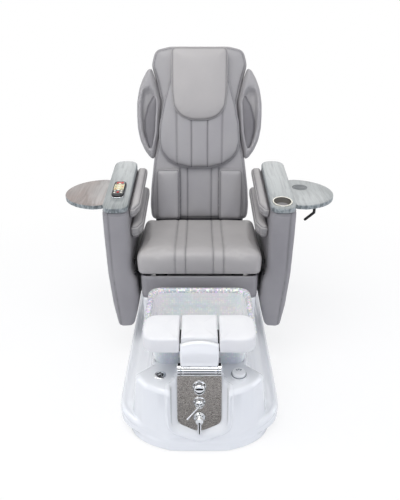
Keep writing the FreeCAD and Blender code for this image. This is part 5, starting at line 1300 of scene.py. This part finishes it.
for number, across in enumerate((-15, 15)):
    for row, along in enumerate((-30, -46)):
        key = turned(f"remote_small_key_{number}_{row}", shifted(REMOTE, across, along), SMALL_KEY, KEY_LIGHT, 40)
        placed(key, "remote_control", "key_light")

# %% [markdown]
# ## Deck controls and taps
# Every round fitting is turned on a lathe: one profile, spun. The jet button is chrome round a black dimpled cap. The
# selector is a white knob with a grip and printed marks. The diverter and the mixer are chrome domes on flanges, and
# the hand sprayer stands in a stepped chrome collar.

# %% Deck controls
BUTTON, SELECTOR = stand(-160, 119, DECK), stand(160, 119, DECK)


def fitting(name, place, profile, material, body, finish, *nodes, segments=96):
    return placed(turned(name, place, profile, material, segments), body, finish, *nodes)


def round_about(name, place, angles, corners, heights, rims, material, body, finish, count):
    """The same small slab at several angles round an axis."""
    for number, angle in enumerate(angles):
        one = slab(f"{name}_{number}", spun(place, angle), corners, *heights, *rims, material, None, count)
        placed(one, body, finish)


fitting("jet_ring", BUTTON, ((14.2, -2), (14.2, 4.2), (15.5, 5.4), (19, 5.2), (23, 3.2), (24.8, 1.2), (25, 0.1),
                             (24, -2)),
        CHROME, "base", "chrome", "jet_button_ring")
fitting("jet_cap", BUTTON, ((0, 6.2), (4, 6.6), (5, 7.6), (7, 7.9), (11.8, 7.6), (13.2, 6.4), (13.4, 4.5),
                            (13.4, -1), (0, -1)),
        BLACK_GLOSS, "button", "button_black", "jet_button")
fitting("jet_cap_centre", BUTTON, ((0, 8.0), (2.6, 7.9), (3.6, 7.2), (3.8, 6.3), (0, 6.3)), CHROME, "button",
        "chrome",
        segments=48)
round_about("jet_cap_fin", BUTTON, (45, 135, 225, 315), ((6, -1.4, 1), (11.4, -2.2, 1), (11.4, 2.2, 1), (6, 1.4, 1)),
            (7.2, 8.3), (0.2, 0.4), CHROME, "button", "chrome", 32)
fitting("selector_base", SELECTOR, ((20, -1), (20, 8.4), (28.6, 8.8), (29.4, 8.2), (33.2, 6.6), (34, 4), (34, 0.1),
                                    (32, -1)),
        GLOSS_WHITE, "base", "knob_white", "selector_collar")
fitting("selector_ring", SELECTOR, ((28.2, 8.3), (28.4, 10.0), (31.2, 10.0), (31.6, 7.6), (29.4, 7.4)), LABEL_GREY,
        "base", "knob_white")
fitting("selector_cap", SELECTOR, ((0, 20.6), (16, 20.4), (22, 20.9), (26.2, 20.6), (27.4, 19.2), (27.8, 16),
                                   (27.9, 9.6),
                                   (26.8, 9.3), (0, 9.3)), GLOSS_WHITE, "selector", "knob_white", "selector_knob")
round_about("selector_mark", SELECTOR, (-38, 0, 38), ((-2.8, 9, 1), (2.8, 9, 1), (2.8, 17, 1), (-2.8, 17, 1)),
            (20.5, 21.2), (0.1, 0.2), LABEL_GREY, "selector", "knob_white", 28)
placed(slab("selector_grip", SELECTOR, ((-12, -7, 3), (12, -7, 3), (12, 1, 3), (-12, 1, 3)), 20.3, 22.0, 0.3, 1.1,
            GLOSS_WHITE, None, 60), "selector", "knob_white")


# %% Taps
def on_plate(share, lift=0.0):
    """A place on the tap plate's face, at a share of its length."""
    return shifted(PLATE, 0, share * PLATE_LENGTH, 3 + lift)


fitting("diverter_dome", on_plate(0.82), ((11.2, 0.6), (27.2, 0.6), (27.4, 2.4), (25.6, 4.0), (20.5, 5.2), (18.6, 8),
                                          (18.2, 14), (19.6, 17), (22.4, 19), (23.4, 24), (22.6, 30), (19.4, 34.6),
                                          (13, 37), (6, 37.8), (0, 38)), CHROME, "diverter", "chrome",
                                          "diverter_knob")
round_about("diverter_rib", on_plate(0.82), range(0, 360, 30),
            ((22.6, -1.3, 0.8), (24.2, -1.1, 0.8), (24.2, 1.1, 0.8), (22.6, 1.3, 0.8)),
            (20, 31.5), (0.3, 0.6), CHROME, "diverter", "chrome", 20)
fitting("mixer_body", on_plate(0.55), ((11.2, 0.6), (23.8, 0.6), (24, 2.2), (22.6, 3.6), (18.6, 4.6), (17.4, 7),
                                       (17, 15),
                                       (18.6, 17.2), (19, 22), (17.6, 28), (13.6, 32), (7, 33.8), (0, 34)),
        CHROME, "mixer", "chrome", "mixer_dome")
fitting("sprayer_dock", on_plate(0.27),
        ((11.2, 0.2), (23.4, 0.2), (23.8, 2.0), (22, 3.6), (18.8, 4.4), (18, 6), (17.6, 9),
                                         (11.4, 9), (11.2, 0.2)), CHROME, "base", "chrome")
fitting("tap_union_low", on_plate(0.27, -3), ((11.2, 3.1), (24.6, 3.1), (24.6, 3.7), (11.2, 3.9), (11.2, 3.1)),
        RUBBER,
        "base", "rubber")

# %% The cloth that closes the gap under the backrest
placed(slab("back_flap", BACK, ((240, -64, 16), (240, 4, 4), (-240, 4, 4), (-240, -64, 16)), -76, -69, 1.5, 2.5,
            LEATHER_PAINTED_SHADED), "back", "upholstery")

# %% [markdown]
# ## The finish of the CAD pieces
# Pieces whose CAD form is already right keep it and only get their real finish.

# %% Finishes
FINISHES = {
    CHROME: ("hinge_bracket", "hinge_pin", "mixer_lever", "sprayer", "tap_bodies", "recline_rod", "bowl_drain"),
    HAMMERED: ("control_plate",),
    CUP_STEEL: ("cup_holder",),
    BLACK_PAINT: ("side_frames", "tray_brackets", "tray_lever", "seat_carriage", "base_frame", "back_frame",
                  "footrest_frame"),
    ZINC: ("slide_rails", "panel_screws", "recline_tube", "levelling_feet"),
    PUMP_GREY: ("drain_pump", "jet_motor", "jet_impeller", "massage_carriage", "power_inlet"),
    PIPE: ("supply_pipes",),
    GLOSS_WHITE: ("jet_cover", "access_panel"),
    KEY_RED: ("remote_power_key",),
    KEY_LIGHT: ("remote_keys",),
}
for finish, nodes in FINISHES.items():
    for node in nodes:
        target = frame["nodes"][node]
        for place in target.material_slots:
            place.material = finish
        if not target.material_slots:
            target.data.materials.append(finish)
finished = {node for nodes in FINISHES.values() for node in nodes}
left = [name for name, node in frame["nodes"].items() if name not in finished and not node.hide_render]
print("nodes that keep the plain finish:", left)

# %% [markdown]
# ## Studio
# The photo is a product shot on pure white: a big soft lamp above and in front, cooler fill from low in front that
# turns the upright white faces bluish, and a surround that is dimmer low down. The camera and the mirrors see plain
# white behind the chair, three black cards that only mirrors see give the chrome its dark bands, and the floor keeps
# only a faint contact shadow.

# %% Floor, lamps, surround and camera
floor_data = bpy.data.meshes.new("floor")
floor_data.from_pydata([(-9, -9, 0), (9, -9, 0), (9, 9, 0), (-9, 9, 0)], [], [(0, 1, 2, 3)])
floor = linked("floor", floor_data)
material, tree, shader = new_material("studio_floor", "fbfbfc", 0.9)
glow = add(tree, "ShaderNodeEmission", Color=linear("ffffff"), Strength=1.0)
eye = add(tree, "ShaderNodeLightPath").outputs["Is Camera Ray"]
away = add(tree, "ShaderNodeVectorMath", {"operation": "LENGTH"}, i0=coordinates(tree)).outputs["Value"]
share = times(tree, eye, ramp(tree, times(tree, away, 0.25), ((0.2, 0.72), (0.55, 1.0))))
blend = add(tree, "ShaderNodeMixShader", Fac=share, i1=shader.outputs[0], i2=glow.outputs[0])
tree.links.new(blend.outputs[0], tree.nodes["Material Output"].inputs[0])
floor_data.materials.append(material)


def lamp(name, place, aim, size, power, colour):
    data = bpy.data.lights.new(name, "AREA")
    data.shape = "RECTANGLE"
    data.size, data.size_y = size
    data.energy = power
    data.color = linear(colour)[:3]
    light = linked(name, data)
    light.location = place
    light.rotation_euler = (Vector(aim) - Vector(place)).to_track_quat("-Z", "Y").to_euler()


lamp("key_above", (-0.5, -1.3, 3.4), (0, -0.1, 0.6), (2.6, 1.8), 55, "fffefc")
lamp("fill_front", (0.3, -4.2, 1.1), (0, 0, 0.5), (3.4, 1.6), 21, "e4ebff")
lamp("side_left", (-2.9, -0.6, 1.9), (0, 0, 0.7), (1.2, 2.0), 15, "f6f8ff")
lamp("side_right", (2.9, -0.4, 1.9), (0, 0, 0.7), (1.2, 2.0), 17, "f6f8ff")
lamp("behind", (0.2, 2.8, 2.4), (0, 0.2, 0.8), (2.6, 1.2), 16, "ffffff")


def flag(name, *corners):
    """A black card that only mirrors see, as photographers set up for chrome."""
    data = bpy.data.meshes.new(name)
    data.from_pydata(corners, [], [(0, 1, 2, 3)])
    card = linked(name, data)
    data.materials.append(BLACK_PAINT)
    card.visible_camera = card.visible_diffuse = card.visible_shadow = False


flag("flag_floor", (-0.6, -1.28, 0.004), (0.6, -1.28, 0.004), (0.6, -0.86, 0.004), (-0.6, -0.86, 0.004))
flag("flag_low", (-2.2, -2.5, 0.02), (2.2, -2.5, 0.02), (2.2, -2.5, 0.7), (-2.2, -2.5, 0.7))
flag("flag_high", (-0.9, -3.0, 1.95), (1.5, -3.0, 1.95), (1.5, -3.0, 2.6), (-0.9, -3.0, 2.6))

world_data = bpy.data.worlds.new("studio")
bpy.context.scene.world = world_data
world_data.use_nodes = True
tree = world_data.node_tree
tree.nodes.clear()
height = add(tree, "ShaderNodeSeparateXYZ", i0=add(tree, "ShaderNodeTexCoord").outputs["Generated"]).outputs[2]
surround = ramp(tree, height, ((0.0, "4a4b4f"), (0.12, "6d6f74"), (0.3, "b9bcc2"), (0.75, "e4e6ea")))
around = add(tree, "ShaderNodeBackground", Color=surround, Strength=0.76)
white = add(tree, "ShaderNodeBackground", Color=linear("ffffff"), Strength=1.0)
path = add(tree, "ShaderNodeLightPath")
seen = math_node(tree, "MAXIMUM", path.outputs["Is Camera Ray"], path.outputs["Is Glossy Ray"])
eye = math_node(tree, "MAXIMUM", seen, path.outputs["Is Transmission Ray"])
choice = add(tree, "ShaderNodeMixShader", Fac=eye, i1=around.outputs[0], i2=white.outputs[0])
out = add(tree, "ShaderNodeOutputWorld")
tree.links.new(choice.outputs[0], out.inputs[0])

CAMERA_AWAY, CAMERA_HEIGHT = 1517, 1697  # millimetres in front of the lip and above the floor
camera_data = bpy.data.cameras.new("camera")
camera_data.lens = 37.08
camera_data.sensor_width = 36
camera_data.shift_x = 0.0012
camera = linked("camera", camera_data)
camera.location = world(0, -CAMERA_AWAY, CAMERA_HEIGHT)
camera.rotation_euler = (math.radians(63.2), 0, 0)
bpy.context.scene.camera = camera
bpy.context.scene.view_settings.view_transform = "Standard"
